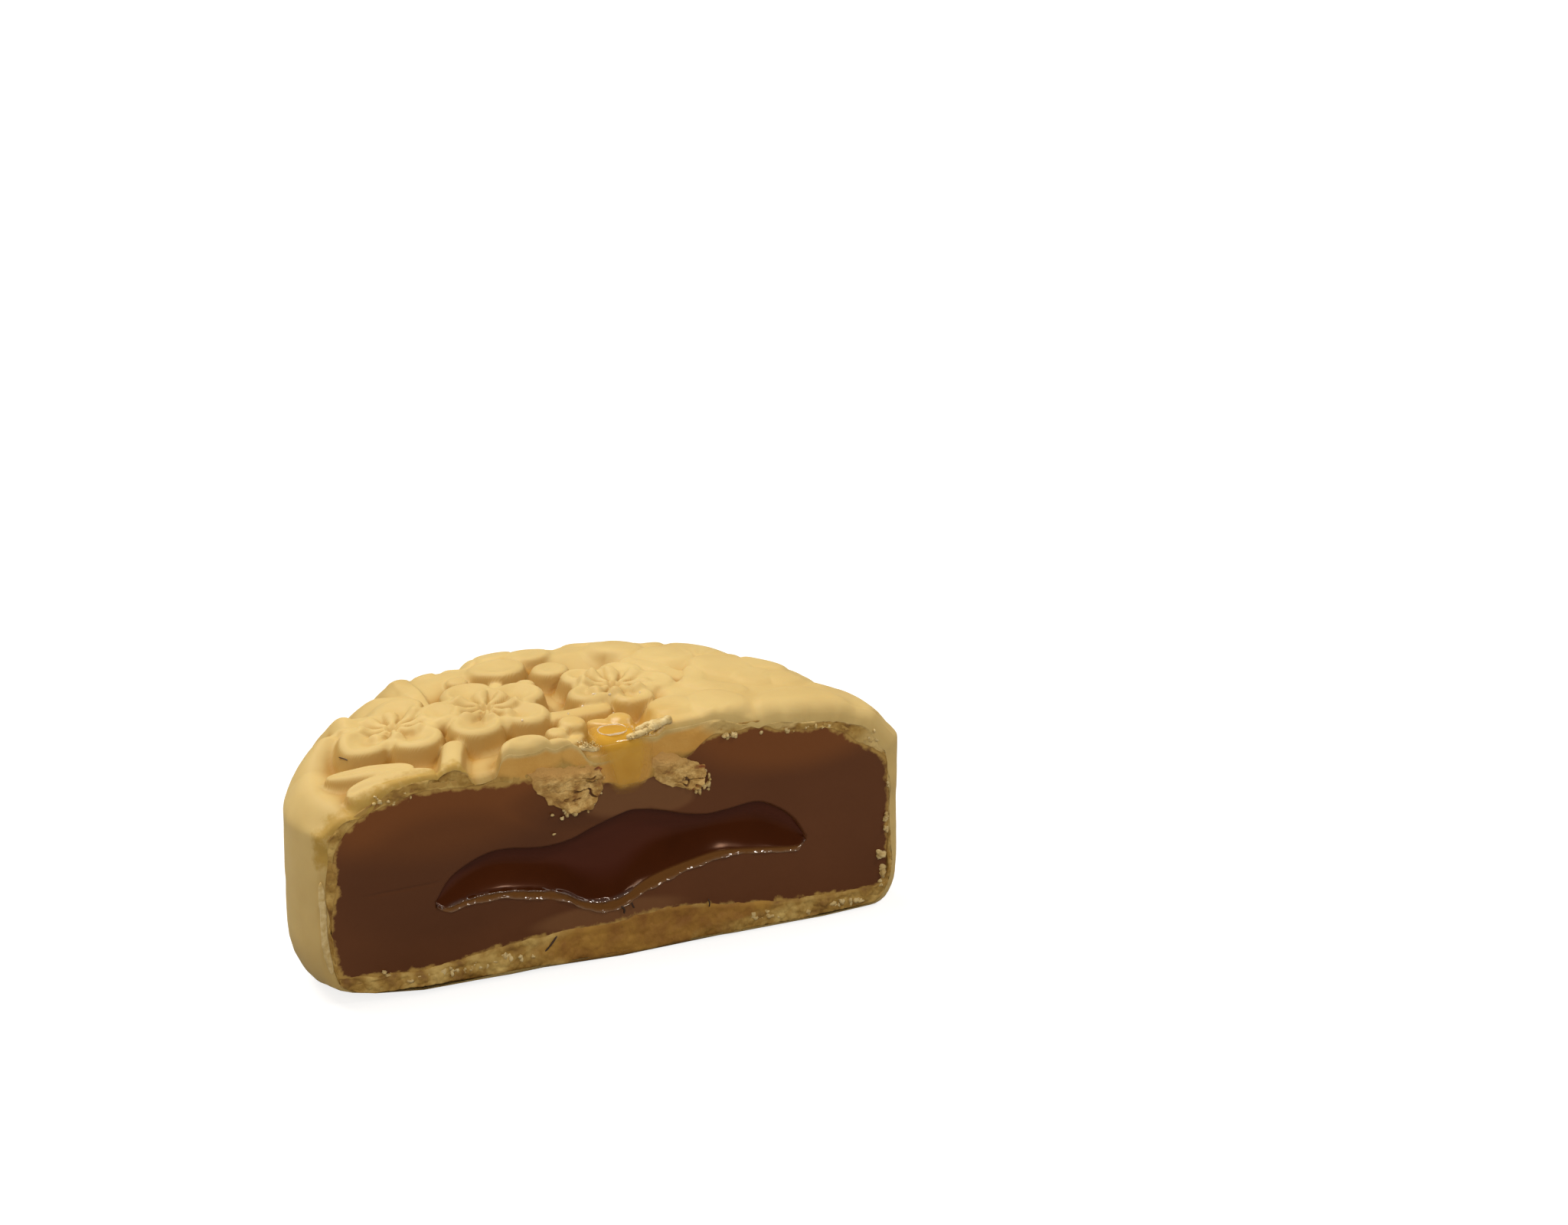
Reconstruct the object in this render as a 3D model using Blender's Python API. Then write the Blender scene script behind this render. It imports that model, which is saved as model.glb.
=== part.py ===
"""Half an osmanthus mooncake, as cut: moulded crust, bean-paste filling and osmanthus jam heart.

The cake stands on its flat base, +Z up. The knife's cut is a plane facing -Y, and X runs along it.
Sizes are in metres; the origin is at the middle of the base's bounding box.
"""
import math
import random

import bmesh
import bpy
from mathutils import Matrix, Vector

MM = 0.001

# The whole cake, as it leaves the mould
RADIUS = 33.0 * MM
LOBES = 16
NOTCH_RATIO = 0.955
FIELD_HEIGHT = 24.2 * MM
RELIEF_HEIGHT = 2.7 * MM
RELIEF_ROOT = 1.5 * MM
RIM_ROUND = 2.6 * MM
BASE_ROUND = 4.2 * MM
BASE_ROUND_LEAN = 1.6 * MM
BASE_ROUND_RISE = 1.35
WALL_RING = 13.0 * MM
BODY_STEPS = 80
ROUNDING_STEPS = 3
BASE_SHARES = (0.5, 1.0)
FIELD_SHARES = (0.80, 0.64, 0.46, 0.26)

# The dough springs back: the field fills up at the back and on the right, and all relief fades at the rim.
# Distances from the middle at which these begin on the right and on the left, and the angles between the two.
FILL_FROM_RIGHT = 19.0 * MM
FILL_FROM_LEFT = 23.0 * MM
FILL_TURNS = (110.0, 140.0)
FILL_REACH = 5.0 * MM
BACK_FILL = 0.85
RIGHT_FILL = 0.9
RIGHT_FILL_FROM = 6.0 * MM
RIGHT_FILL_TO = 12.5 * MM
PIT = (11.4 * MM, 11.6 * MM)
PIT_RADIUS = 1.8 * MM
PIT_DEPTH = 0.8
FADE_FROM_RIGHT = 28.0 * MM
FADE_FROM_LEFT = 25.0 * MM
FADE_TURNS = (50.0, 80.0)
FADE_TO = 33.2 * MM

# Baking swells the middle, so the top falls towards the rim
SWELL_DROP = 3.3 * MM
SWELL_FROM = 12.0 * MM

# The cut: how the mould's pattern lies to it, and how the knife pushed the left end out
MOULD_TURN = math.radians(26.8)
CUT_Y = -1.1 * MM
BULGE_RATIO = 0.05
BULGE_ANGLE = math.radians(168.0)
BULGE_SPREAD = math.radians(20.0)
STRETCH_KNOTS = ((0.0, 0.0), (153.2, 153.2), (200.0, 212.2), (340.0, 340.0), (360.0, 360.0))
CRAG_SEED = 7
CRAG_DEPTH = 0.35 * MM
CRAG_SPACING = 1.7 * MM

# The crust's wall round the filling, and the sunken middle under the syrup
SIDE_WALL = 1.5 * MM
FILLING_TOP = 22.7 * MM
FILLING_RISES = ((-23.5 * MM, 5.0 * MM, 1.3 * MM), (18.0 * MM, 9.0 * MM, 1.5 * MM))
FILLING_RISE_REACH = 10.0 * MM
FILLING_CORNER = 5.2 * MM
FILLING_FOOT = 1.5 * MM
FILLING_WALL_RING = 10.0 * MM
FILLING_FLUTE = 0.6
FLOOR_SHARES = (0.25, 0.5, 0.75, 1.0)
ROOF_SHARES = (0.82, 0.66, 0.50, 0.42, 0.36, 0.29, 0.22, 0.12)
BASE_WALL = 2.7 * MM
BASE_RISE = 1.5 * MM
BASE_RISE_SPREAD = 11.0 * MM
SINK_X = -0.8 * MM
SINK_DEPTH = 4.4 * MM
SINK_INNER = 6.0 * MM
SINK_OUTER = 10.4 * MM
CLEARANCE = 0.3 * MM
FILLING_STEPS = 48

# The jam heart: half width along the cut, depth behind it, and heights at stations across the width
JAM_X = 0.4 * MM
JAM_HALF_WIDTH = 20.8 * MM
JAM_DEPTH = 15.0 * MM
JAM_TIP_GIRTH = 0.45
JAM_SEGMENTS = 24
JAM_RINGS = 20
JAM_UPPER = ((-1.0, 12.2), (-0.6, 14.9), (-0.35, 14.4), (0.05, 16.8), (0.45, 14.9), (0.78, 15.2), (1.0, 12.6))
JAM_LOWER = ((-1.0, 9.6), (-0.72, 11.0), (-0.4, 10.0), (-0.12, 7.0), (0.2, 9.2), (0.6, 10.3), (1.0, 9.2))

# The relief, in millimetres from the mould's centre.
# A blossom: centre, first petal's direction in degrees, petals' distance from the centre, petals' radius.
BLOSSOMS = (
    (-23.8, 0.7, 95.0, 4.4, 3.4),
    (-14.6, 4.2, 51.0, 4.6, 3.4),
    (-1.6, 11.7, 89.0, 4.0, 2.8),
    (-6.0, -9.8, 54.0, 4.7, 3.3),
)
PETALS = 5
PETAL_STEPS = 12
PETAL_LIFT = 0.01
HEART_SHARE = 0.62
HEART_STEPS = 10
STAMENS = 8
STAMEN_TURN = 12.0
STAMEN_FROM = 0.9
STAMEN_TO = 3.5
STAMEN_HALF_WIDTH = 0.42 * MM
STAMEN_HALF_HEIGHT = 0.55 * MM
STAMEN_LEVEL = 0.88
STAMEN_HEAD = 0.55
# A blossom seen from the side: each petal's centre and radius.
SIDE_PETALS = (
    (-14.9, 16.1, 3.5), (-19.8, 20.5, 2.3), (-16.3, 21.7, 2.6), (-12.1, 21.0, 2.7), (-9.1, 16.3, 2.6),
)
SIDE_PETAL_STEP = 0.04
# Round buds: centre and radius.
BUDS = (
    (-11.9, 25.6, 1.3), (-23.0, 16.1, 1.15), (-25.4, 13.5, 1.15), (-18.7, 12.8, 1.2),
    (-11.4, 12.1, 1.2), (-4.9, 0.7, 1.3), (-6.4, -1.4, 1.0),
)
BUD_TALLNESS = 1.3
BUD_LEVEL = 0.3
# Lobes of the pine clouds: centre and radius.
CLOUD_LOBES = (
    (-2.8, 23.8, 3.5), (0.7, 26.6, 2.4), (7.0, 25.0, 4.9), (13.8, 21.5, 3.3), (16.6, 16.6, 2.8),
    (3.3, 21.5, 4.0), (9.6, 18.6, 4.0), (13.2, 16.4, 3.2),
    (19.8, 8.4, 6.3), (9.8, 7.0, 3.9), (4.7, 5.8, 3.1), (3.3, -1.9, 3.1), (14.4, 3.4, 3.0),
    (-5.8, -4.7, 2.6),
)
CLOUD_HEIGHT = 0.96
CLOUD_STEP = 0.011
CLOUD_STEPS = 18
# Stems and branches: three points along each, and the thickness's half.
STEMS = (
    ((-25.4, 13.5), (-23.6, 10.4), (-21.2, 6.6), 0.75),
    ((-9.6, 25.6), (-10.2, 24.2), (-11.4, 22.4), 0.6),
    ((-14.7, 12.6), (-14.6, 11.2), (-14.6, 10.0), 0.8),
    ((-4.0, 0.5), (-4.3, -1.0), (-5.2, -2.4), 0.7),
    ((-2.4, 6.2), (-5.2, 4.2), (-8.0, 2.8), 1.15),
    ((-16.8, -4.0), (-16.3, -9.0), (-16.8, -12.4), 1.1),
    ((-14.9, -9.4), (-14.2, -10.8), (-13.2, -12.4), 0.7),
    ((-1.0, 18.9), (2.5, 16.8), (7.0, 15.4), 0.8),
    ((6.8, 16.4), (7.2, 12.2), (11.6, 11.2), 1.1),
    ((-9.1, 28.6), (-7.0, 26.6), (-4.4, 26.4), 0.9),
)
STEM_LEVEL = 0.25
STEM_RESOLUTION = 3
STEM_WELD = 0.01 * MM
# Leaves: the two tips and half the width.
LEAVES = (
    (-28.9, -7.0, -20.5, -8.9, 1.3), (-26.6, -12.1, -18.2, -9.8, 1.9), (-3.6, 2.9, 1.2, 2.1, 1.2),
)
LEAF_HALF_HEIGHT = 0.62
# Fans of pine needles: where they spring from, and their tips.
NEEDLE_FANS = (
    ((7.0, 19.6), ((4.7, 24.3), (6.1, 25.0), (7.7, 25.2), (9.3, 25.2), (11.0, 24.0))),
    ((14.0, 15.0), ((14.7, 21.1), (15.7, 19.4), (17.7, 16.9))),
    ((18.9, 0.0), ((14.7, 5.1), (18.2, 7.4), (22.4, 7.0))),
    ((9.8, 1.9), ((7.7, 5.1), (9.6, 6.4), (11.6, 6.5))),
)
NEEDLE_HALF_WIDTH = 0.3 * MM
NEEDLE_HALF_HEIGHT = 0.35 * MM
NEEDLE_LEVEL = 0.86
# How far each turned piece of relief is rooted in the body, as a share of its radius
ROOT_SHARE = 0.97

# The knife's block, in radii and in full heights of the cake
KNIFE_WIDTH = 2.3
KNIFE_REACH = 1.3
KNIFE_HEIGHT = 1.2
KNIFE_BELOW = 1.0 * MM

# Each solid's colour and roughness
FINISHES = {
    "baked_crust": ((0.69, 0.48, 0.18), 0.6),
    "bean_paste": ((0.095, 0.033, 0.011), 0.45),
    "osmanthus_jam": ((0.035, 0.010, 0.004), 0.1),
}
SHARP_ANGLE = math.radians(40.0)


def clear_scene():
    for item in list(bpy.data.objects):
        bpy.data.objects.remove(item, do_unlink=True)


def new_collection(name):
    collection = bpy.data.collections.new(name)
    bpy.context.scene.collection.children.link(collection)
    return collection


def new_object(name, bm, collection):
    """Turn a bmesh into an object with its faces pointing out."""
    bmesh.ops.recalc_face_normals(bm, faces=bm.faces)
    if bm.calc_volume(signed=True) < 0.0:
        bmesh.ops.reverse_faces(bm, faces=bm.faces)
    mesh = bpy.data.meshes.new(name)
    bm.to_mesh(mesh)
    bm.free()
    item = bpy.data.objects.new(name, mesh)
    collection.objects.link(item)
    return item


def principled(name):
    colour, roughness = FINISHES[name]
    material = bpy.data.materials.new(name)
    material.use_nodes = True
    shader = material.node_tree.nodes["Principled BSDF"]
    shader.inputs["Base Color"].default_value = (*colour, 1.0)
    shader.inputs["Roughness"].default_value = roughness
    shader.inputs["Metallic"].default_value = 0.0
    return material


def smooth_step(value, low, high):
    share = min(max((value - low) / (high - low), 0.0), 1.0)
    return share * share * (3.0 - 2.0 * share)


def between(stations, place):
    """Height at a place between stations, eased so that the curve is level at each of them."""
    for (low, low_height), (high, high_height) in zip(stations, stations[1:]):
        if place <= high:
            return low_height + (high_height - low_height) * smooth_step(place, low, high)
    return stations[-1][1]


def loft(sections, bottom, top):
    """A closed solid through rings of equally many points, with a point closing each end."""
    bm = bmesh.new()
    rings = [[bm.verts.new(point) for point in section] for section in sections]
    for lower, upper in zip(rings, rings[1:]):
        for index in range(len(lower)):
            following = (index + 1) % len(lower)
            bm.faces.new((lower[index], lower[following], upper[following], upper[index]))
    for ring, end in ((rings[0], bottom), (rings[-1], top)):
        tip = bm.verts.new(end)
        for index in range(len(ring)):
            bm.faces.new((ring[index], ring[(index + 1) % len(ring)], tip))
    return bm


def mould_to_cake(x_mm, y_mm):
    """A point of the mould's pattern, in millimetres, as a place on the cake that lies to the cut."""
    turn = Matrix.Rotation(-MOULD_TURN, 2)
    return turn @ Vector((x_mm * MM, y_mm * MM))


def lobe_ratio(angle):
    """Scalloped radius over the crest radius: arcs of equal circles that meet in notches."""
    lobe = 2.0 * math.pi / LOBES
    first_notch = math.pi / 2.0 - MOULD_TURN
    within = (angle - first_notch) % lobe - lobe / 2.0
    centre = (1.0 - NOTCH_RATIO ** 2) / (2.0 * (1.0 - NOTCH_RATIO * math.cos(lobe / 2.0)))
    arc = 1.0 - centre
    return centre * math.cos(within) + math.sqrt(arc ** 2 - (centre * math.sin(within)) ** 2)


def stretched(angle):
    """The angle a mould angle moved to: the last lobe before the cut is drawn out wide."""
    degrees = math.degrees(angle) % 360.0
    for (low, low_to), (high, high_to) in zip(STRETCH_KNOTS, STRETCH_KNOTS[1:]):
        if degrees <= high:
            return math.radians(low_to + (high_to - low_to) * (degrees - low) / (high - low))
    return angle


def bulge(angle):
    """How much further out the cake stands near the left end of the cut."""
    return 1.0 + BULGE_RATIO * math.exp(-((angle - BULGE_ANGLE) / BULGE_SPREAD) ** 2)


def outline_angles(steps):
    """Evenly spaced mould angles, one of them in every notch."""
    first_notch = math.pi / 2.0 - MOULD_TURN
    return [(first_notch + 2.0 * math.pi * step / steps) % (2.0 * math.pi) for step in range(steps)]


def body_ring(inset, height, share=1.0, flute=1.0):
    """A ring of the cake's outline: a share of the full size, less an inset; flute 0 makes it round.

    inset and height are numbers or functions of the angle."""
    points = []
    for angle in outline_angles(BODY_STEPS):
        place = stretched(angle)
        ratio = 1.0 + (lobe_ratio(angle) - 1.0) * flute
        radius = RADIUS * ratio * bulge(place) * share - (inset(place) if callable(inset) else inset)
        level = height(place) if callable(height) else height
        points.append((radius * math.cos(place), radius * math.sin(place), level))
    return points


def base_round(angle):
    return BASE_ROUND - BASE_ROUND_LEAN * math.cos(angle)


def quarter_turns():
    """Angles of a rounding, from 0 to a quarter turn."""
    return [math.pi / 2.0 * step / ROUNDING_STEPS for step in range(ROUNDING_STEPS + 1)]


def make_body(collection):
    """The whole cake without its relief: flat base, rounded foot, fluted wall, rounded rim, flat field."""
    sections = [body_ring(base_round, 0.0, share=share, flute=share) for share in BASE_SHARES]
    for turn in quarter_turns()[1:]:
        sections.append(body_ring(
            lambda angle: base_round(angle) * (1.0 - math.sin(turn)),
            lambda angle: base_round(angle) * BASE_ROUND_RISE * (1.0 - math.cos(turn))))
    sections.append(body_ring(0.0, WALL_RING))
    for turn in quarter_turns():
        inset = RIM_ROUND * (1.0 - math.cos(turn))
        level = FIELD_HEIGHT - RIM_ROUND * (1.0 - math.sin(turn))
        sections.append(body_ring(inset, level))
    for share in FIELD_SHARES:
        sections.append(body_ring(0.0, FIELD_HEIGHT, share=share, flute=share ** 4))
    return new_object("crust", loft(sections, (0.0, 0.0, 0.0), (0.0, 0.0, FIELD_HEIGHT)), collection)


def round_piece(collection, name, x_mm, y_mm, radius_mm, height, profile, steps):
    """A turned piece of the relief: profile gives (share of radius, share of height) up to the middle."""
    place = mould_to_cake(x_mm, y_mm)
    radius = radius_mm * MM
    if place.y + radius < CUT_Y:
        return
    angles = [2.0 * math.pi * step / steps for step in range(steps)]
    sections = []
    for share, rise in ((ROOT_SHARE, -RELIEF_ROOT / height),) + profile[:-1]:
        reach = radius * share
        level = FIELD_HEIGHT + rise * height
        sections.append([
            (place.x + reach * math.cos(angle), place.y + reach * math.sin(angle), level)
            for angle in angles])
    bottom = (place.x, place.y, FIELD_HEIGHT - RELIEF_ROOT)
    top = (place.x, place.y, FIELD_HEIGHT + profile[-1][1] * height)
    new_object(name, loft(sections, bottom, top), collection)


PETAL_PROFILE = ((1.0, 0.45), (0.94, 0.85), (0.80, 1.0), (0.0, 0.50))
CLOUD_PROFILE = ((1.0, 0.50), (0.95, 0.85), (0.84, 1.0), (0.0, 0.90))
HEART_PROFILE = ((1.0, 0.20), (0.7, 0.52), (0.0, 0.60))


def stretched_ball(collection, name, start, end, half_width, half_height, level, segments, rings, head=0.0):
    """An egg lying from start to end; head above 0 moves its width towards the end, as in a drop."""
    middle = (start + end) / 2.0
    if max(start.y, end.y) + half_width < CUT_Y:
        return
    along = end - start
    bm = bmesh.new()
    bmesh.ops.create_uvsphere(bm, u_segments=segments, v_segments=rings, radius=1.0)
    for vert in bm.verts:
        share = vert.co.z
        fullness = 1.0 + head * share
        side = vert.co.x * half_width * fullness
        rise = vert.co.y * half_height * fullness
        vert.co = (share * along.length / 2.0, side, rise)
    turn = Matrix.Rotation(math.atan2(along.y, along.x), 4, "Z")
    bmesh.ops.transform(bm, matrix=Matrix.Translation((middle.x, middle.y, level)) @ turn, verts=bm.verts)
    new_object(name, bm, collection)


def make_blossom(collection, index, x_mm, y_mm, first, distance_mm, radius_mm):
    """Five cupped petals round a low heart, and stamens like drops that fan out from its middle."""
    for petal in range(PETALS):
        angle = math.radians(first + 360.0 / PETALS * petal)
        petal_x = x_mm + distance_mm * math.cos(angle)
        petal_y = y_mm + distance_mm * math.sin(angle)
        height = RELIEF_HEIGHT * (1.0 + PETAL_LIFT * petal)
        round_piece(collection, f"petal_{index}_{petal}", petal_x, petal_y, radius_mm, height,
                    PETAL_PROFILE, PETAL_STEPS)
    round_piece(collection, f"heart_{index}", x_mm, y_mm, HEART_SHARE * distance_mm, RELIEF_HEIGHT,
                HEART_PROFILE, HEART_STEPS)
    for stamen in range(STAMENS):
        angle = math.radians(first + STAMEN_TURN + 360.0 / STAMENS * stamen)
        inner = mould_to_cake(x_mm + STAMEN_FROM * math.cos(angle), y_mm + STAMEN_FROM * math.sin(angle))
        outer = mould_to_cake(x_mm + STAMEN_TO * math.cos(angle), y_mm + STAMEN_TO * math.sin(angle))
        level = FIELD_HEIGHT + STAMEN_LEVEL * RELIEF_HEIGHT
        stretched_ball(collection, f"stamen_{index}_{stamen}", inner, outer, STAMEN_HALF_WIDTH,
                       STAMEN_HALF_HEIGHT, level, 5, 4, head=STAMEN_HEAD)


def make_stem(collection, name, first, second, third, half_mm):
    """A stem as a bevelled curve through three points, made a mesh and welded at its caps."""
    places = [mould_to_cake(*point) for point in (first, second, third)]
    if max(place.y for place in places) + half_mm * MM < CUT_Y:
        return
    curve = bpy.data.curves.new(name, "CURVE")
    curve.dimensions = "3D"
    curve.bevel_depth = half_mm * MM
    curve.bevel_resolution = 1
    curve.resolution_u = STEM_RESOLUTION
    curve.use_fill_caps = True
    spline = curve.splines.new("BEZIER")
    spline.bezier_points.add(2)
    for point, place in zip(spline.bezier_points, places):
        point.co = (place.x, place.y, FIELD_HEIGHT + STEM_LEVEL * RELIEF_HEIGHT)
        point.handle_left_type = "AUTO"
        point.handle_right_type = "AUTO"
    drawn = bpy.data.objects.new(name, curve)
    collection.objects.link(drawn)
    evaluated = drawn.evaluated_get(bpy.context.evaluated_depsgraph_get())
    mesh = bpy.data.meshes.new_from_object(evaluated)
    bm = bmesh.new()
    bm.from_mesh(mesh)
    bmesh.ops.remove_doubles(bm, verts=bm.verts, dist=STEM_WELD)
    bmesh.ops.transform(bm, matrix=drawn.matrix_world, verts=bm.verts)
    bpy.data.objects.remove(drawn)
    new_object(name, bm, collection)


def make_relief(collection):
    for index, blossom in enumerate(BLOSSOMS):
        make_blossom(collection, index, *blossom)
    for index, (x_mm, y_mm, radius_mm) in enumerate(SIDE_PETALS):
        height = RELIEF_HEIGHT * (1.0 - SIDE_PETAL_STEP * index)
        round_piece(collection, f"side_petal_{index}", x_mm, y_mm, radius_mm, height,
                    PETAL_PROFILE, PETAL_STEPS)
    for index, (x_mm, y_mm, radius_mm) in enumerate(CLOUD_LOBES):
        height = RELIEF_HEIGHT * (CLOUD_HEIGHT - CLOUD_STEP * index)
        round_piece(collection, f"cloud_{index}", x_mm, y_mm, radius_mm, height,
                    CLOUD_PROFILE, CLOUD_STEPS)
    for index, (x_mm, y_mm, radius_mm) in enumerate(BUDS):
        place = mould_to_cake(x_mm, y_mm)
        reach = Vector((radius_mm * MM, 0.0))
        stretched_ball(collection, f"bud_{index}", place - reach, place + reach, radius_mm * MM,
                       BUD_TALLNESS * radius_mm * MM, FIELD_HEIGHT + BUD_LEVEL * RELIEF_HEIGHT, 8, 6)
    for index, stem in enumerate(STEMS):
        make_stem(collection, f"stem_{index}", *stem)
    for index, (tail_x, tail_y, tip_x, tip_y, half_mm) in enumerate(LEAVES):
        tail, tip = mould_to_cake(tail_x, tail_y), mould_to_cake(tip_x, tip_y)
        stretched_ball(collection, f"leaf_{index}", tail, tip, half_mm * MM,
                       LEAF_HALF_HEIGHT * RELIEF_HEIGHT, FIELD_HEIGHT, 10, 8)
    for fan, (root, tips) in enumerate(NEEDLE_FANS):
        for index, tip in enumerate(tips):
            level = FIELD_HEIGHT + NEEDLE_LEVEL * RELIEF_HEIGHT
            stretched_ball(collection, f"needle_{fan}_{index}", mould_to_cake(*root), mould_to_cake(*tip),
                           NEEDLE_HALF_WIDTH, NEEDLE_HALF_HEIGHT, level, 4, 4)


def keep_largest_shell(mesh):
    """Drop loose scraps and fill sealed pinholes: only the shell with the most points stays."""
    bm = bmesh.new()
    bm.from_mesh(mesh)
    waiting = set(bm.verts)
    shells = []
    while waiting:
        shell = [waiting.pop()]
        for vert in shell:
            linked = [edge.other_vert(vert) for edge in vert.link_edges]
            fresh = [other for other in linked if other in waiting]
            waiting.difference_update(fresh)
            shell.extend(fresh)
        shells.append(shell)
    shells.sort(key=len)
    for shell in shells[:-1]:
        bmesh.ops.delete(bm, geom=shell, context="VERTS")
    bm.to_mesh(mesh)
    bm.free()


def fuse_relief(body, collection):
    """One union of the body with every piece of the relief, applied; the pieces are then removed."""
    union = body.modifiers.new("relief", "BOOLEAN")
    union.operation = "UNION"
    union.operand_type = "COLLECTION"
    union.collection = collection
    union.solver = "MANIFOLD"
    bpy.context.view_layer.update()
    evaluated = body.evaluated_get(bpy.context.evaluated_depsgraph_get())
    fused = bpy.data.meshes.new_from_object(evaluated)
    body.modifiers.remove(union)
    keep_largest_shell(fused)
    body.data = fused
    for item in list(collection.objects):
        bpy.data.objects.remove(item, do_unlink=True)
    bpy.data.collections.remove(collection)


def field_fill(x, y):
    """How far the field has filled up towards the top of the relief, from 0 to 1."""
    place = math.atan2(y, x) % (2.0 * math.pi)
    distance = math.hypot(x, y) / bulge(place)
    leftness = smooth_step(math.degrees(place), *FILL_TURNS)
    start = FILL_FROM_RIGHT + (FILL_FROM_LEFT - FILL_FROM_RIGHT) * leftness
    back = BACK_FILL * smooth_step(distance, start, start + FILL_REACH)
    right = RIGHT_FILL * smooth_step(x, RIGHT_FILL_FROM, RIGHT_FILL_TO)
    from_pit = math.hypot(x - PIT[0], y - PIT[1]) / PIT_RADIUS
    return max(back, right) * (1.0 - PIT_DEPTH * math.exp(-from_pit ** 2))


def rim_fade(x, y):
    """Share of the relief that is left at a place: all of it in the middle, none at the rim."""
    place = math.atan2(y, x) % (2.0 * math.pi)
    distance = math.hypot(x, y) / bulge(place)
    leftness = smooth_step(math.degrees(place), *FADE_TURNS)
    start = FADE_FROM_RIGHT + (FADE_FROM_LEFT - FADE_FROM_RIGHT) * leftness
    return 1.0 - smooth_step(distance, start, FADE_TO)


def settle(item):
    """Fill up the field between the relief and fade the relief out at the rim."""
    for vert in item.data.vertices:
        rise = vert.co.z - FIELD_HEIGHT
        fill = field_fill(vert.co.x, vert.co.y)
        fade = rim_fade(vert.co.x, vert.co.y)
        on_top = smooth_step(rise, -RIM_ROUND, 0.0)
        above = max(rise, 0.0)
        vert.co.z += (fade * (fill * RELIEF_HEIGHT + above * (1.0 - fill)) - above) * on_top


def swell(item):
    """Lower the upper part towards the rim, by the cube of the distance from the middle."""
    full = FIELD_HEIGHT + RELIEF_HEIGHT - SWELL_FROM
    for vert in item.data.vertices:
        share = min(max((vert.co.z - SWELL_FROM) / full, 0.0), 1.0)
        vert.co.z -= SWELL_DROP * (vert.co.xy.length / RADIUS) ** 3 * share


def base_wall(x):
    return BASE_WALL + BASE_RISE * math.exp(-((x - JAM_X) / BASE_RISE_SPREAD) ** 2)


def filling_top(x, y):
    """Top of the filling: it follows the thick relief, and sinks round the middle of the cut."""
    height = FILLING_TOP
    for centre, spread, rise in FILLING_RISES:
        height += rise * math.exp(-((x - centre) / spread) ** 2 - (y / FILLING_RISE_REACH) ** 2)
    distance = math.hypot(x - SINK_X, y - CUT_Y)
    return height - SINK_DEPTH * (1.0 - smooth_step(distance, SINK_INNER, SINK_OUTER))


def make_filling(name, collection, inset):
    """The filling's outer form less an inset; with none it is the hollow that the filling lies in."""
    angles = outline_angles(FILLING_STEPS)

    def ring(back, level, share=1.0):
        points = []
        for angle in angles:
            place = stretched(angle)
            ratio = 1.0 + (lobe_ratio(angle) - 1.0) * FILLING_FLUTE
            radius = (RADIUS * ratio * bulge(place) - SIDE_WALL - inset - back) * share
            x, y = radius * math.cos(place), radius * math.sin(place)
            points.append((x, y, level(x, y)))
        return points

    def floor(x, y):
        return base_wall(x) + inset

    def roof(x, y):
        return filling_top(x, y) - inset

    def shoulder(x, y):
        return FILLING_TOP - FILLING_CORNER - inset

    sections = [ring(FILLING_FOOT, floor, share) for share in FLOOR_SHARES]
    sections.append(ring(0.0, lambda x, y: floor(x, y) + FILLING_FOOT))
    sections.append(ring(0.0, lambda x, y: FILLING_WALL_RING))
    for turn in quarter_turns():
        sections.append(ring(
            FILLING_CORNER * (1.0 - math.cos(turn)),
            lambda x, y: shoulder(x, y) + (roof(x, y) - shoulder(x, y)) * math.sin(turn)))
    for share in ROOF_SHARES:
        sections.append(ring(0.0, roof, share))
    middle_bottom = (0.0, 0.0, floor(0.0, 0.0))
    middle_top = (0.0, 0.0, roof(0.0, 0.0))
    item = new_object(name, loft(sections, middle_bottom, middle_top), collection)
    swell(item)
    return item


def make_jam(name, collection, grow):
    """The jam heart: a ball drawn out to a lens whose upper and lower sides follow the stations."""
    bm = bmesh.new()
    bmesh.ops.create_uvsphere(bm, u_segments=JAM_SEGMENTS, v_segments=JAM_RINGS, radius=1.0)
    for vert in bm.verts:
        across, side, behind = vert.co.z, vert.co.x, vert.co.y
        girth = math.sqrt(max(1.0 - across * across, 0.0))
        share = side / max(girth, JAM_TIP_GIRTH)
        stations = JAM_UPPER if share > 0.0 else JAM_LOWER
        edge = between(stations, across) * MM
        middle = (between(JAM_UPPER, across) + between(JAM_LOWER, across)) / 2.0 * MM
        level = middle + (edge - middle) * abs(share) + grow * share
        x = JAM_X + (JAM_HALF_WIDTH + grow) * across
        y = CUT_Y + (JAM_DEPTH + grow) * behind
        vert.co = (x, y, level)
    return new_object(name, bm, collection)


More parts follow.
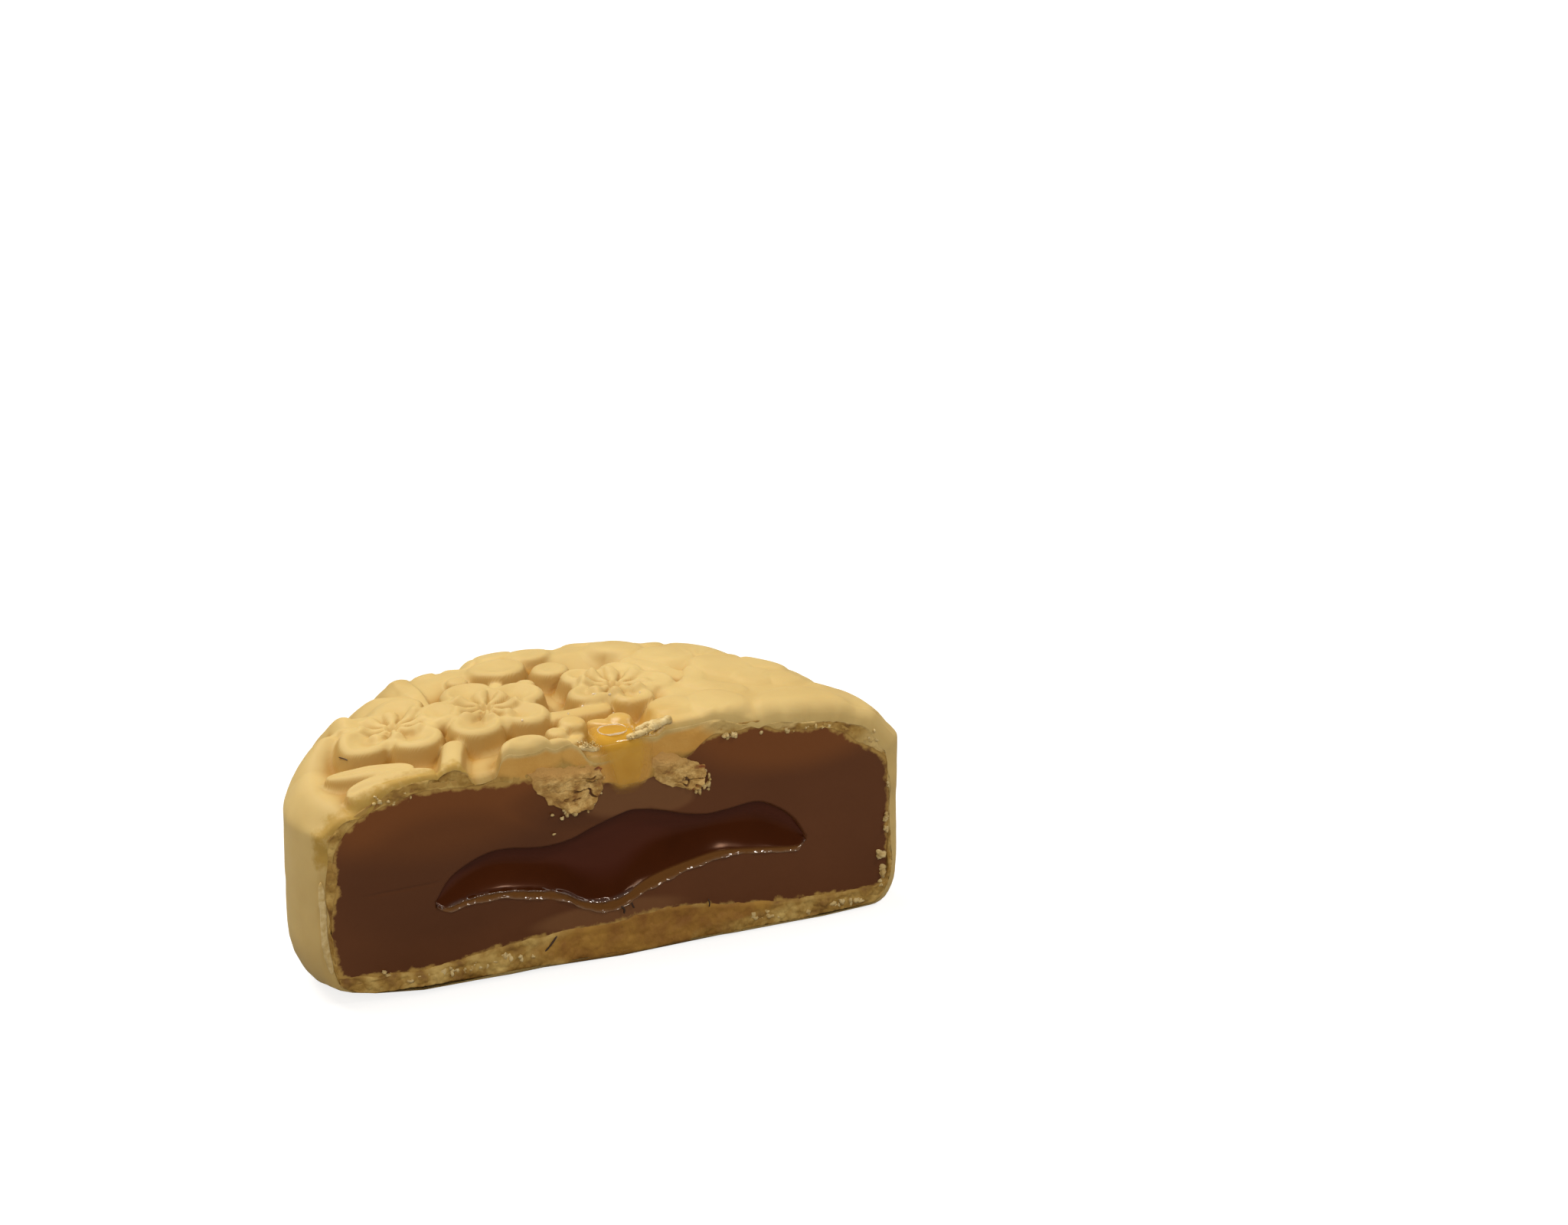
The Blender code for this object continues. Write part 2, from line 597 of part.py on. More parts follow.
def make_knife(name, collection, crag_depth):
    """A block in front of the cut. Its cutting face is a grid, roughened where the crust crumbled."""
    width = KNIFE_WIDTH * RADIUS
    height = KNIFE_HEIGHT * (FIELD_HEIGHT + RELIEF_HEIGHT)
    draw = random.Random(CRAG_SEED)
    bm = bmesh.new()
    columns = max(1, round(width / CRAG_SPACING)) if crag_depth else 1
    rows = max(1, round(height / CRAG_SPACING)) if crag_depth else 1
    bmesh.ops.create_grid(bm, x_segments=columns, y_segments=rows, size=0.5)
    for vert in bm.verts:
        push = draw.uniform(-1.0, 1.0) * crag_depth
        vert.co = (vert.co.x * width, CUT_Y + push, (vert.co.y + 0.5) * height - KNIFE_BELOW)
    extruded = bmesh.ops.extrude_face_region(bm, geom=bm.faces[:])
    for vert in extruded["geom"]:
        if isinstance(vert, bmesh.types.BMVert):
            vert.co.y = -KNIFE_REACH * RADIUS
    return new_object(name, bm, collection)


def cut_away(item, cutter, solver="EXACT"):
    cut = item.modifiers.new("less_" + cutter.name, "BOOLEAN")
    cut.operation = "DIFFERENCE"
    cut.solver = solver
    cut.object = cutter


def centre_on_base(items):
    """Move everything so that the origin is under the middle of the cake's outline."""
    points = [(stretched(angle), RADIUS * lobe_ratio(angle) * bulge(stretched(angle)))
              for angle in outline_angles(BODY_STEPS)]
    xs = [radius * math.cos(angle) for angle, radius in points if radius * math.sin(angle) > CUT_Y]
    ys = [radius * math.sin(angle) for angle, radius in points]
    front = CUT_Y - CRAG_DEPTH
    shift = Matrix.Translation((-(min(xs) + max(xs)) / 2.0, -(front + max(ys)) / 2.0, 0.0))
    for item in items:
        item.data.transform(shift)


def shade(item):
    item.data.shade_smooth()
    item.data.set_sharp_from_angle(angle=SHARP_ANGLE)


def main():
    clear_scene()
    parts = new_collection("osmanthus_mooncake")
    cutters = new_collection("cutters")
    relief = new_collection("relief")

    crust = make_body(parts)
    make_relief(relief)
    fuse_relief(crust, relief)
    settle(crust)
    swell(crust)
    filling = make_filling("filling", parts, CLEARANCE)
    jam = make_jam("osmanthus_jam", parts, 0.0)

    hollow = make_filling("hollow", cutters, 0.0)
    jam_hollow = make_jam("jam_hollow", cutters, CLEARANCE)
    rough_knife = make_knife("rough_knife", cutters, CRAG_DEPTH)
    knife = make_knife("knife", cutters, 0.0)
    cut_away(crust, rough_knife, solver="MANIFOLD")
    cut_away(crust, hollow, solver="MANIFOLD")
    cut_away(filling, knife)
    cut_away(filling, jam_hollow)
    cut_away(jam, knife)

    centre_on_base([crust, filling, jam, hollow, jam_hollow, rough_knife, knife])
    for item, finish in ((crust, "baked_crust"), (filling, "bean_paste"), (jam, "osmanthus_jam")):
        item.data.materials.append(principled(finish))
        shade(item)
    for cutter in cutters.objects:
        cutter.hide_render = True
        cutter.display_type = "WIRE"


main()
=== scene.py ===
import math

import bpy
import numpy as np
from mathutils import Matrix, Vector


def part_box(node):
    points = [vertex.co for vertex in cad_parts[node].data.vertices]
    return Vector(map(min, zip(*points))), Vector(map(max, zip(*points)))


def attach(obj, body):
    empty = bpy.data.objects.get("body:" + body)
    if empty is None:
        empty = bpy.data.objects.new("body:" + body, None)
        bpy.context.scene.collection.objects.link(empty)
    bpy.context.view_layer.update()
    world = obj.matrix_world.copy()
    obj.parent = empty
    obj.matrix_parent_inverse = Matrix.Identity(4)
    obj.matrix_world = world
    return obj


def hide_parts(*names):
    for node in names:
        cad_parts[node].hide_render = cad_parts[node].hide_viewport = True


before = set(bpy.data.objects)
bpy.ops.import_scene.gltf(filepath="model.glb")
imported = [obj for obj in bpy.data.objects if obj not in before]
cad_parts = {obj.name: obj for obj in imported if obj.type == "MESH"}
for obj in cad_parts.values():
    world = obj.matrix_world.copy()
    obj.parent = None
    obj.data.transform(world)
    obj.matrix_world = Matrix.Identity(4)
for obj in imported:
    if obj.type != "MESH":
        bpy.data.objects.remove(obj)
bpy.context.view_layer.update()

# Shapes are worked out in millimetres from the middle of the whole cake: X along the cut, Y into the half, Z up.
# The jam's tips and the filling's flat face say where that middle lies in the frame.
MM = 0.001
CUT_Y = -1.1
JAM_X = 0.4
JAM_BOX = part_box("osmanthus_jam")
FILLING_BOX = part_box("filling")
MIDDLE_X = (JAM_BOX[0].x + JAM_BOX[1].x) / 2.0 - JAM_X * MM
MIDDLE_Y = FILLING_BOX[0].y - CUT_Y * MM

# The mould and the baked form
RADIUS = 33.3
LOBES = 16
NOTCH_RATIO = 0.955
NOTCH_SOFTNESS = math.radians(0.9)
FIELD_HEIGHT = 24.2
RELIEF_HEIGHT = 2.7
RIM_ROUND = 2.6
BASE_ROUND = 3.9
BASE_ROUND_LEAN = 1.1
BASE_ROUND_RISE = 1.35
SWELL_DROP = 3.3
SWELL_FROM = 12.0
MOULD_TURN = math.radians(26.8)
BULGE_RATIO = 0.05
BULGE_ANGLE = math.radians(168.0)
BULGE_SPREAD = math.radians(20.0)
STRETCH_FROM = np.radians([-30.0, 0.0, 153.2, 200.0, 340.0])
STRETCH_TO = np.radians([-30.0, 0.0, 153.2, 212.2, 340.0])

# The dough springs back: the field fills up at the back and on the right, and all relief fades at the rim.
# Distances from the middle at which these begin on the right and on the left, and the angles between the two.
FILL_TURNS = (0.0, 110.0, 140.0, 165.0, 180.0)
FILL_FROM = (19.0, 19.0, 23.0, 28.0, 28.5)
FILL_REACH = 5.0
BACK_FILL = 0.9
RIGHT_FILL = 0.96
RIGHT_FILL_EDGES = (4.6, 8.8)
NEAR_CUT_FILL = 0.95
PIT = (11.4, 11.6)
PIT_RADIUS = 1.8
PIT_DEPTH = 0.8
FADE_TURNS = (0.0, 50.0, 80.0, 145.0, 165.0, 180.0)
FADE_FROM = (29.6, 29.8, 29.0, 29.0, 29.4, 29.8)
FADE_TO = 33.3
LOBE_PUFF = 1.3
NOTCH_GROOVE = 1.9
# How much the lobes near the rim puff up or sink, at angles round the middle
PUFF_TURNS = (0.0, 25.0, 45.0, 62.0, 90.0, 119.0, 127.0, 134.0, 140.0, 144.0, 149.0, 157.0, 164.0, 180.0)
PUFF_RISE = (-0.8, -1.7, -1.2, -0.5, -0.8, -0.8, 0.9, 0.7, -1.6, -1.5, 1.3, 2.1, 0.2, 0.1)
GROOVE_TURNS = (0.0, 50.0, 100.0, 180.0)
GROOVE_SHARE = (0.25, 0.35, 1.0, 1.0)

# The relief, in millimetres on the mould. A blossom: centre, first petal's direction, petals' distance and radius.
BLOSSOMS = (
    (-23.8, 0.7, 95.0, 4.4, 3.4),
    (-14.6, 4.2, 51.0, 4.6, 3.4),
    (-1.6, 11.7, 89.0, 4.0, 2.8),
    (-6.0, -9.8, 54.0, 4.7, 3.3),
)
PETALS = 5
STAMENS = 8
SIDE_PETALS = ((-14.9, 16.1, 3.5), (-19.8, 20.5, 2.3), (-16.3, 21.7, 2.6), (-12.1, 21.0, 2.7), (-9.1, 16.3, 2.6))
BUDS = (
    (-11.9, 25.6, 1.3), (-23.0, 16.1, 1.15), (-25.4, 13.5, 1.15), (-18.7, 12.8, 1.2),
    (-11.4, 12.1, 1.2), (-4.9, 0.7, 1.6), (-6.4, -1.4, 1.3),
)
CLOUDS = (
    ((-2.8, 23.8, 3.5), (0.7, 26.6, 2.4), (7.0, 25.0, 4.9), (13.8, 21.5, 3.3), (16.6, 16.6, 2.8),
     (3.3, 21.5, 4.0), (9.6, 18.6, 4.0), (13.2, 16.4, 3.2)),
    ((19.8, 8.4, 6.3),),
    ((9.8, 7.0, 3.9), (4.7, 5.8, 3.1), (14.4, 3.4, 3.0)),
    ((3.3, -1.9, 3.1),),
    ((-5.8, -4.7, 2.6),),
    ((-0.3, 3.3, 2.1),),
)
STEMS = (
    ((-25.4, 13.5), (-23.6, 10.4), (-21.2, 6.6), 0.75),
    ((-9.6, 25.6), (-10.2, 24.2), (-11.4, 22.4), 0.6),
    ((-14.7, 12.6), (-14.6, 11.2), (-14.6, 10.0), 0.8),
    ((-4.0, 0.5), (-4.3, -1.0), (-5.2, -2.4), 0.7),
    ((-2.4, 6.2), (-5.2, 4.2), (-8.0, 2.8), 1.15),
    ((-16.8, -4.0), (-16.3, -9.0), (-16.8, -12.4), 1.1),
    ((-14.9, -9.4), (-14.2, -10.8), (-13.2, -12.4), 0.7),
    ((-1.0, 18.9), (2.5, 16.8), (7.0, 15.4), 0.8),
    ((6.8, 16.4), (7.2, 12.2), (11.6, 11.2), 1.1),
    ((-9.1, 28.6), (-7.0, 26.6), (-4.4, 26.4), 0.9),
)
LEAVES = (
    (-29.4, -8.8, -20.0, -8.2, 1.5), (-26.6, -12.6, -17.6, -9.6, 2.2), (-3.6, 2.9, 1.2, 2.1, 1.2),
)
NEEDLE_FANS = (
    ((7.0, 19.6), ((4.7, 24.3), (6.1, 25.0), (7.7, 25.2), (9.3, 25.2), (11.0, 24.0))),
    ((14.0, 15.0), ((14.7, 21.1), (15.7, 19.4), (17.7, 16.9))),
    ((18.9, 0.0), ((14.7, 5.1), (18.2, 7.4), (22.4, 7.0))),
    ((9.8, 1.9), ((7.7, 5.1), (9.6, 6.4), (11.6, 6.5))),
)

# The knife's edge: its rounding, and how far the base curls up along the cut
EDGE_ROUND = 0.8
RIGHT_EDGE_ROUND = 1.2
FOOT_FLARE = 0.4
CURL_X = (-33.0, -30.0, -27.5, -25.0, -20.0, -15.0, 0.0, 27.0, 31.0)
CURL_RISE = (2.6, 1.5, 1.1, 0.9, 0.25, 0.0, -0.2, -0.2, 0.3)

# The cut face, X and Z on the cut: the filling's border, the jam's two lips, from photo measurements
FILLING_BORDER = (
    (-31.2, 3.6), (-32.0, 9.0), (-31.3, 14.2), (-31.6, 17.2), (-30.7, 19.4), (-28.4, 21.4), (-25.3, 22.6),
    (-21.5, 23.2), (-17.3, 22.9), (-11.0, 22.5), (-7.0, 22.0), (-3.0, 21.0), (2.0, 20.4), (7.0, 22.2), (9.6, 23.9),
    (12.5, 24.2), (15.5, 24.2), (18.6, 23.4), (23.0, 22.9), (25.3, 22.1), (27.2, 20.7), (29.9, 18.9), (30.9, 17.0),
    (31.3, 13.0), (31.4, 7.6), (31.2, 3.2), (28.4, 2.4), (21.6, 2.6), (16.2, 3.0), (11.5, 3.7), (5.8, 4.5),
    (2.4, 4.3), (-1.2, 3.9), (-6.6, 3.9), (-13.2, 3.6), (-19.2, 2.7), (-27.0, 2.9),
)
SPINE_HALF = 20.0
SPINE_Z = 12.0
JAM_UPPER = (
    (-20.6, 10.3), (-19.1, 12.6), (-17.0, 14.0), (-14.8, 14.8), (-12.7, 14.9), (-9.0, 14.4), (-5.8, 14.7),
    (-3.4, 15.6), (0.4, 16.8), (2.2, 16.8), (4.4, 16.3), (7.1, 15.4), (9.6, 14.9), (11.9, 15.0), (15.6, 15.3),
    (18.2, 14.1), (20.1, 12.4), (21.4, 10.2),
)
JAM_LOWER = (
    (-20.6, 9.7), (-19.6, 9.5), (-17.0, 10.1), (-13.2, 10.2), (-8.8, 9.4), (-6.6, 8.7), (-4.4, 7.4), (-2.2, 6.9),
    (0.1, 7.2), (2.3, 8.4), (4.5, 9.2), (8.2, 10.0), (10.9, 10.4), (13.4, 10.2), (17.0, 9.7), (20.2, 9.3), (21.4, 9.8),
)
# How wide the wet film below the lower lip is, at X
FILM_X = (-20.6, -19.0, -14.0, -7.0, -3.0, 0.0, 5.0, 9.0, 13.7, 18.0, 20.4, 21.4)
FILM_WIDTH = (0.05, 0.8, 1.0, 1.1, 1.3, 1.4, 1.5, 1.4, 0.75, 0.8, 0.7, 0.05)

# The camera: fitted to the photo, in the cake's millimetres
CAMERA_AZIMUTH = math.radians(-24.68)
CAMERA_ELEVATION = math.radians(22.0)
CAMERA_ROLL = math.radians(1.18)
CAMERA_DISTANCE = 338.9
CAMERA_TARGET = (18.71, 0.0, 36.4)
CAMERA_LENS = 73.83
SENSOR_WIDTH = 36.0


def smooth_step(value, low, high):
    """0 below low and 1 above high, eased by a cubic between them."""
    share = np.clip((value - low) / (high - low), 0.0, 1.0)
    return share * share * (3.0 - 2.0 * share)


def fall(value, low, high):
    """1 below low and 0 above high, eased between them."""
    return 1.0 - smooth_step(value, low, high)


def bell(distance, width):
    """A bell curve: 1 at a distance of 0, and 1/e at the width."""
    return np.exp(-(distance / width) ** 2)


def above(value, limit=0.0):
    """How far a value is above a limit, or else 0."""
    return np.maximum(value - limit, 0.0)


def xyz(x, y, z):
    """Points from their coordinates, each a number or an array."""
    return np.stack(np.broadcast_arrays(x, y, z), axis=-1)


def unit(vectors):
    """Vectors cut or stretched to a length of 1."""
    return vectors / np.linalg.norm(vectors, axis=-1, keepdims=True)


def soft_max(first, second, reach):
    """The larger of two heights, with the crease between them filled by a parabola within the reach."""
    return np.maximum(first, second) + above(reach, np.abs(first - second)) ** 2 / (4.0 * reach)


def wander(points, size, seed):
    """Smooth random field between -1 and 1: random numbers on a cubic lattice, eased between its corners."""
    side = 32
    table = np.random.default_rng(seed).uniform(-1.0, 1.0, (side, side, side))
    cell = np.floor(points / size).astype(int)
    share = smooth_step(points / size - cell, 0.0, 1.0)
    total = np.zeros(points.shape[:-1])
    for corner in np.ndindex(2, 2, 2):
        weight = np.prod(np.where(np.array(corner) == 1, share, 1.0 - share), axis=-1)
        index = (cell + corner) % side
        total += weight * table[index[..., 0], index[..., 1], index[..., 2]]
    return total


def wanders(points, size, seed):
    """Three wanders with seeds in a row, as the axes of a vector."""
    return np.stack([wander(points, size, seed + axis) for axis in range(3)], axis=-1)


def rugged(points, size, seed, octaves=3):
    """Wander at a size, plus half as much at half the size, and so on."""
    return sum(wander(points, size / 2.0 ** octave, seed + octave) / 2.0 ** octave for octave in range(octaves))


def clumps(points, size, seed):
    """Distance to the nearest of random seeds, one in each cell of a cubic lattice, in cell sizes."""
    side = 24
    offsets = np.random.default_rng(seed).uniform(0.1, 0.9, (side, side, side, 3))
    cell = np.floor(points / size).astype(int)
    nearest = np.full(points.shape[:-1], 9.0)
    for step in np.ndindex(3, 3, 3):
        other = cell + np.array(step) - 1
        index = other % side
        spot = other + offsets[index[..., 0], index[..., 1], index[..., 2]]
        nearest = np.minimum(nearest, np.linalg.norm(points / size - spot, axis=-1))
    return nearest


def spline(points, count):
    """A smooth curve through points, evenly spaced in each stretch: a Catmull-Rom cubic between neighbours."""
    points = np.asarray(points, float)
    padded = np.vstack([2 * points[0] - points[1], points, 2 * points[-1] - points[-2]])
    place = np.linspace(0.0, len(points) - 1.0, count)
    start = np.minimum(place.astype(int), len(points) - 2)
    share = (place - start)[:, None]
    before, first, second, after = (padded[start + step] for step in range(4))
    return 0.5 * (2 * first + (second - before) * share
                  + (2 * before - 5 * first + 4 * second - after) * share ** 2
                  + (3 * first - before - 3 * second + after) * share ** 3)


def quads(index):
    """Faces between the rows and columns of a grid of vertex numbers."""
    return np.stack([index[:-1, :-1], index[:-1, 1:], index[1:, 1:], index[1:, :-1]], axis=-1).reshape(-1, 4)


def fan(row, pole):
    """Triangles between a row of vertex numbers and one vertex."""
    return np.stack([row[:-1], row[1:], np.full(len(row) - 1, pole)], axis=-1)


def to_frame(points):
    """Millimetres from the middle of the cake, as metres in the frame."""
    return points * MM + np.array([MIDDLE_X, MIDDLE_Y, 0.0])


def make_piece(name, points, faces, material, replaced=(), marks={}):
    """A smooth mesh from points in millimetres, faces and marks on its points, riding on the cake."""
    mesh = bpy.data.meshes.new(name)
    points = to_frame(points.reshape(-1, 3))
    mesh.vertices.add(len(points))
    mesh.vertices.foreach_set("co", points.astype(np.float32).ravel())
    sizes = np.concatenate([np.full(len(group), group.shape[1]) for group in faces])
    corners = np.concatenate([group.ravel() for group in faces])
    mesh.loops.add(len(corners))
    mesh.loops.foreach_set("vertex_index", corners.astype(np.int32))
    mesh.polygons.add(len(sizes))
    mesh.polygons.foreach_set("loop_start", np.concatenate([[0], np.cumsum(sizes)[:-1]]).astype(np.int32))
    mesh.update(calc_edges=True)
    mesh.validate()
    for label, values in marks.items():
        mesh.attributes.new(label, "FLOAT", "POINT").data.foreach_set("value", values.astype(np.float32))
    mesh.shade_smooth()
    mesh.materials.append(material)
    piece = bpy.data.objects.new(name, mesh)
    bpy.context.scene.collection.objects.link(piece)
    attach(piece, "root")
    for node in replaced:
        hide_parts(node)
    return piece


def closed_tube(sections):
    """Points and faces of a tube: each row is a closed ring, and a point in the middle closes each end."""
    count, around = sections.shape[:2]
    index = np.arange(count * around).reshape(count, around)
    index = np.hstack([index, index[:, :1]])
    points = np.vstack([sections.reshape(-1, 3), sections[[0, -1]].mean(axis=1)])
    return points, [quads(index)[:, ::-1], fan(index[0], index.max() + 1), fan(index[-1, ::-1], index.max() + 2)]


def tube_mark(front, behind):
    """A mark for a closed tube: values on the first columns of its rows, and 0 on those behind and at its ends."""
    return np.append(np.pad(front, ((0, 0), (0, behind))).ravel(), [0.0, 0.0])


def arc_behind(x, first, last, start, deep, count):
    """Half ovals behind the cut at every X, from one height to another: Y goes with the sine of a turn, and
    Z with its cosine."""
    turn = np.linspace(0.0, math.pi, count)[1:-1]
    height = (first + last)[:, None] / 2.0 + (first - last)[:, None] / 2.0 * np.cos(turn)
    return xyz(x[:, None], start + deep[:, None] * np.sin(turn), height)


# The cake's outline and its height


def lobe_ratio(place):
    """Scalloped radius over the crest radius: equal arcs that meet in softened notches."""
    lobe = 2.0 * math.pi / LOBES
    angle = np.interp(place, STRETCH_TO, STRETCH_FROM)
    within = (angle - (math.pi / 2.0 - MOULD_TURN)) % lobe - lobe / 2.0
    within = lobe / 2.0 - np.hypot(lobe / 2.0 - np.abs(within), NOTCH_SOFTNESS)
    centre = (1.0 - NOTCH_RATIO ** 2) / (2.0 * (1.0 - NOTCH_RATIO * math.cos(lobe / 2.0)))
    return centre * np.cos(within) + np.sqrt((1.0 - centre) ** 2 - (centre * np.sin(within)) ** 2)


def bulge(place):
    """How much further out the cake stands near the left end of the cut."""
    return 1.0 + BULGE_RATIO * bell(place - BULGE_ANGLE, BULGE_SPREAD)


def outline_radius(place):
    """Radius at an angle: equal arcs that meet in softened notches, stretched and pushed out at the left end."""
    return RADIUS * lobe_ratio(place) * bulge(place)


def half_outline(shares):
    """Outline points from the right end of the cut, round the back, to its left end, for shares from 0 to 1."""
    ends = np.array([0.0, math.pi])
    for _ in range(4):
        dip = np.arcsin(CUT_Y / outline_radius(ends))
        ends = np.array([dip[0], math.pi - dip[1]])
    place = ends[0] + (ends[1] - ends[0]) * shares
    points = outline_radius(place)[..., None] * np.stack([np.cos(place), np.sin(place)], axis=-1)
    points[(shares <= 0.0) | (shares >= 1.0), 1] = CUT_Y
    return points, place


def inset(points, distance):
    """Outline points moved towards the middle of the cut."""
    return points - unit(points - np.array([0.0, CUT_Y])) * np.asarray(distance)[..., None]


def to_mould(points):
    """Cake points turned back to where the mould's pattern has them."""
    cosine, sine = math.cos(MOULD_TURN), math.sin(MOULD_TURN)
    x, y = points[..., 0], points[..., 1]
    return np.stack([x * cosine - y * sine, x * sine + y * cosine], axis=-1)


def edge_rise(inside, width=1.5, foot=0.35):
    """How far up a raised piece stands at a distance inside its outline: a soft foot, a steep wall, a round top."""
    share = np.clip((inside + foot) / (width + foot), 0.0, 1.0)
    return smooth_step(share, 0.0, 0.55) * np.sqrt(1.0 - (1.0 - share) ** 2) ** 1.3


def fold(turn, count):
    """Angle from the nearest of so many equal directions."""
    sector = 2.0 * math.pi / count
    return (turn + sector / 2.0) % sector - sector / 2.0


# Each raised piece gives its rise, from 0 to 1, and the height of its top, for spots on the mould


def blossom(spot, x, y, first, distance, radius):
    """A blossom: cupped petals whose rims stand up, and drop-shaped stamens on its heart."""
    rho = np.hypot(spot[..., 0] - x, spot[..., 1] - y)
    turn = np.arctan2(spot[..., 1] - y, spot[..., 0] - x) - math.radians(first)
    folded = fold(turn, PETALS)
    petal = radius - np.hypot(rho * np.cos(folded) - distance, rho * np.sin(folded))
    rim = bell(above(petal, 1.0), 1.1) * smooth_step(rho, 0.45 * distance, distance)
    cup = np.minimum(0.56 + 0.16 * (rho / distance) ** 2, 0.80)
    border = rho * np.sin(above(math.pi / PETALS, np.abs(folded)))
    groove = bell(border, 0.5) * smooth_step(rho, 0.8 * distance, 1.3 * distance)
    fan_turn = fold(turn - math.radians(12.0), STAMENS)
    reach, off = rho * np.cos(fan_turn), rho * np.sin(fan_turn)
    width = 0.48 + 0.42 * smooth_step(reach, 0.9, 3.0)
    stamen = above(1.0, (off / width) ** 2) ** 0.7 * smooth_step(reach, 0.3, 1.1) * fall(reach, 3.2, 4.2)
    top = cup * (1.0 - rim) + rim - 0.24 * groove + 0.30 * stamen
    return edge_rise(np.maximum(petal, distance + 0.42 * radius - rho)), RELIEF_HEIGHT * top


def disc(spot, x, y, radius, share):
    """One round petal, cupped towards its middle."""
    inside = radius - np.hypot(spot[..., 0] - x, spot[..., 1] - y)
    return edge_rise(inside), RELIEF_HEIGHT * share * (0.88 + 0.12 * bell(above(inside, 0.9), 1.2))


def cloud(spot, lobes, share):
    """A cloud of lobes: a low rim along its outline and a gently sunken inside."""
    inside = np.max([radius - np.hypot(spot[..., 0] - x, spot[..., 1] - y) for x, y, radius in lobes], axis=0)
    rim = bell(above(inside, 1.2), 1.2)
    return edge_rise(inside, width=2.2), RELIEF_HEIGHT * share * (0.97 + 0.03 * rim)


def along_path(spot, path):
    """Distance from a path's line, and how far along it, from 0 to 1."""
    best = np.full(spot.shape[:-1], 99.0)
    place = np.zeros(spot.shape[:-1])
    for step, (start, end) in enumerate(zip(path, path[1:])):
        reach = end - start
        share = np.clip(((spot - start) @ reach) / (reach @ reach), 0.0, 1.0)
        away = np.linalg.norm(spot - start - share[..., None] * reach, axis=-1)
        place = np.where(away < best, (step + share) / (len(path) - 1), place)
        best = np.minimum(best, away)
    return best, place


def stem(spot, first, second, third, half):
    """A rounded stem along a curve through three points."""
    away, _ = along_path(spot, spline((first, second, third), 7))
    return edge_rise(half * 1.45 - away, width=1.3 * half), 0.25 * RELIEF_HEIGHT + 1.15 * half


def leaf(spot, tail_x, tail_y, tip_x, tip_y, half):
    """A pointed leaf with a sunken mid rib."""
    away, place = along_path(spot, np.array([(tail_x, tail_y), (tip_x, tip_y)]))
    width = half * above(1.0, (2.0 * place - 1.0) ** 2) ** 0.4 + 0.15
    return edge_rise(width - away, width=1.3), RELIEF_HEIGHT * (0.66 - 0.10 * bell(away, 0.4))


def bud(spot, x, y, radius):
    """A round bud."""
    inside = radius * 1.15 - np.hypot(spot[..., 0] - x, spot[..., 1] - y)
    return edge_rise(inside, width=1.0), 0.3 * RELIEF_HEIGHT + 1.04 * radius


RELIEF = [(cloud, lobes, 0.97 - 0.03 * index) for index, lobes in enumerate(CLOUDS)]
RELIEF += [(stem, *entry) for entry in STEMS]
RELIEF += [(leaf, *entry) for entry in LEAVES]
RELIEF += [(disc, *entry, 1.0 - 0.04 * index) for index, entry in enumerate(SIDE_PETALS)]
RELIEF += [(blossom, *entry) for entry in BLOSSOMS]
RELIEF += [(bud, *entry) for entry in BUDS]


def needles(spot):
    """Raised pine needles: thin ridges from a root to each tip, deepest half way."""
    total = np.zeros(spot.shape[:-1])
    for root, tips in NEEDLE_FANS:
        for tip in tips:
            away, place = along_path(spot, np.array([root, tip]))
            ridge = bell(away, 0.34) * np.sin(math.pi * np.clip(place, 0.04, 0.96)) ** 0.5
            total = np.maximum(total, ridge * (away <= 1.2))
    return 0.32 * total


def round_place(points):
    """Angle in degrees, and distance from the middle as if the rim were a plain circle."""
    turn = np.arctan2(points[..., 1], points[..., 0]) % (2.0 * math.pi)
    distance = np.hypot(points[..., 0], points[..., 1]) / bulge(turn)
    puffed = 1.0 + LOBE_PUFF * (lobe_ratio(turn) - 1.0) * smooth_step(distance, 18.0, 28.0)
    return np.degrees(turn), distance / puffed


def round_table(turn, turns, values):
    """Values given at angles round the middle, in a straight line between them."""
    return np.interp(turn, turns, values, period=360.0)


def field_fill(points):
    """How far the field has filled up towards the top of the relief, from 0 to 1."""
    x, y = points[..., 0], points[..., 1]
    turn, distance = round_place(points)
    back = BACK_FILL * smooth_step((distance - round_table(turn, FILL_TURNS, FILL_FROM)) / FILL_REACH, 0.0, 1.0)
    right = RIGHT_FILL * smooth_step(x, *RIGHT_FILL_EDGES)
    near_cut = NEAR_CUT_FILL * smooth_step(x, 2.6, 4.8) * fall(y, 0.8, 4.0)
    pit = 1.0 - PIT_DEPTH * bell(np.hypot(x - PIT[0], y - PIT[1]), PIT_RADIUS)
    return np.max([back, right, near_cut], axis=0) * pit


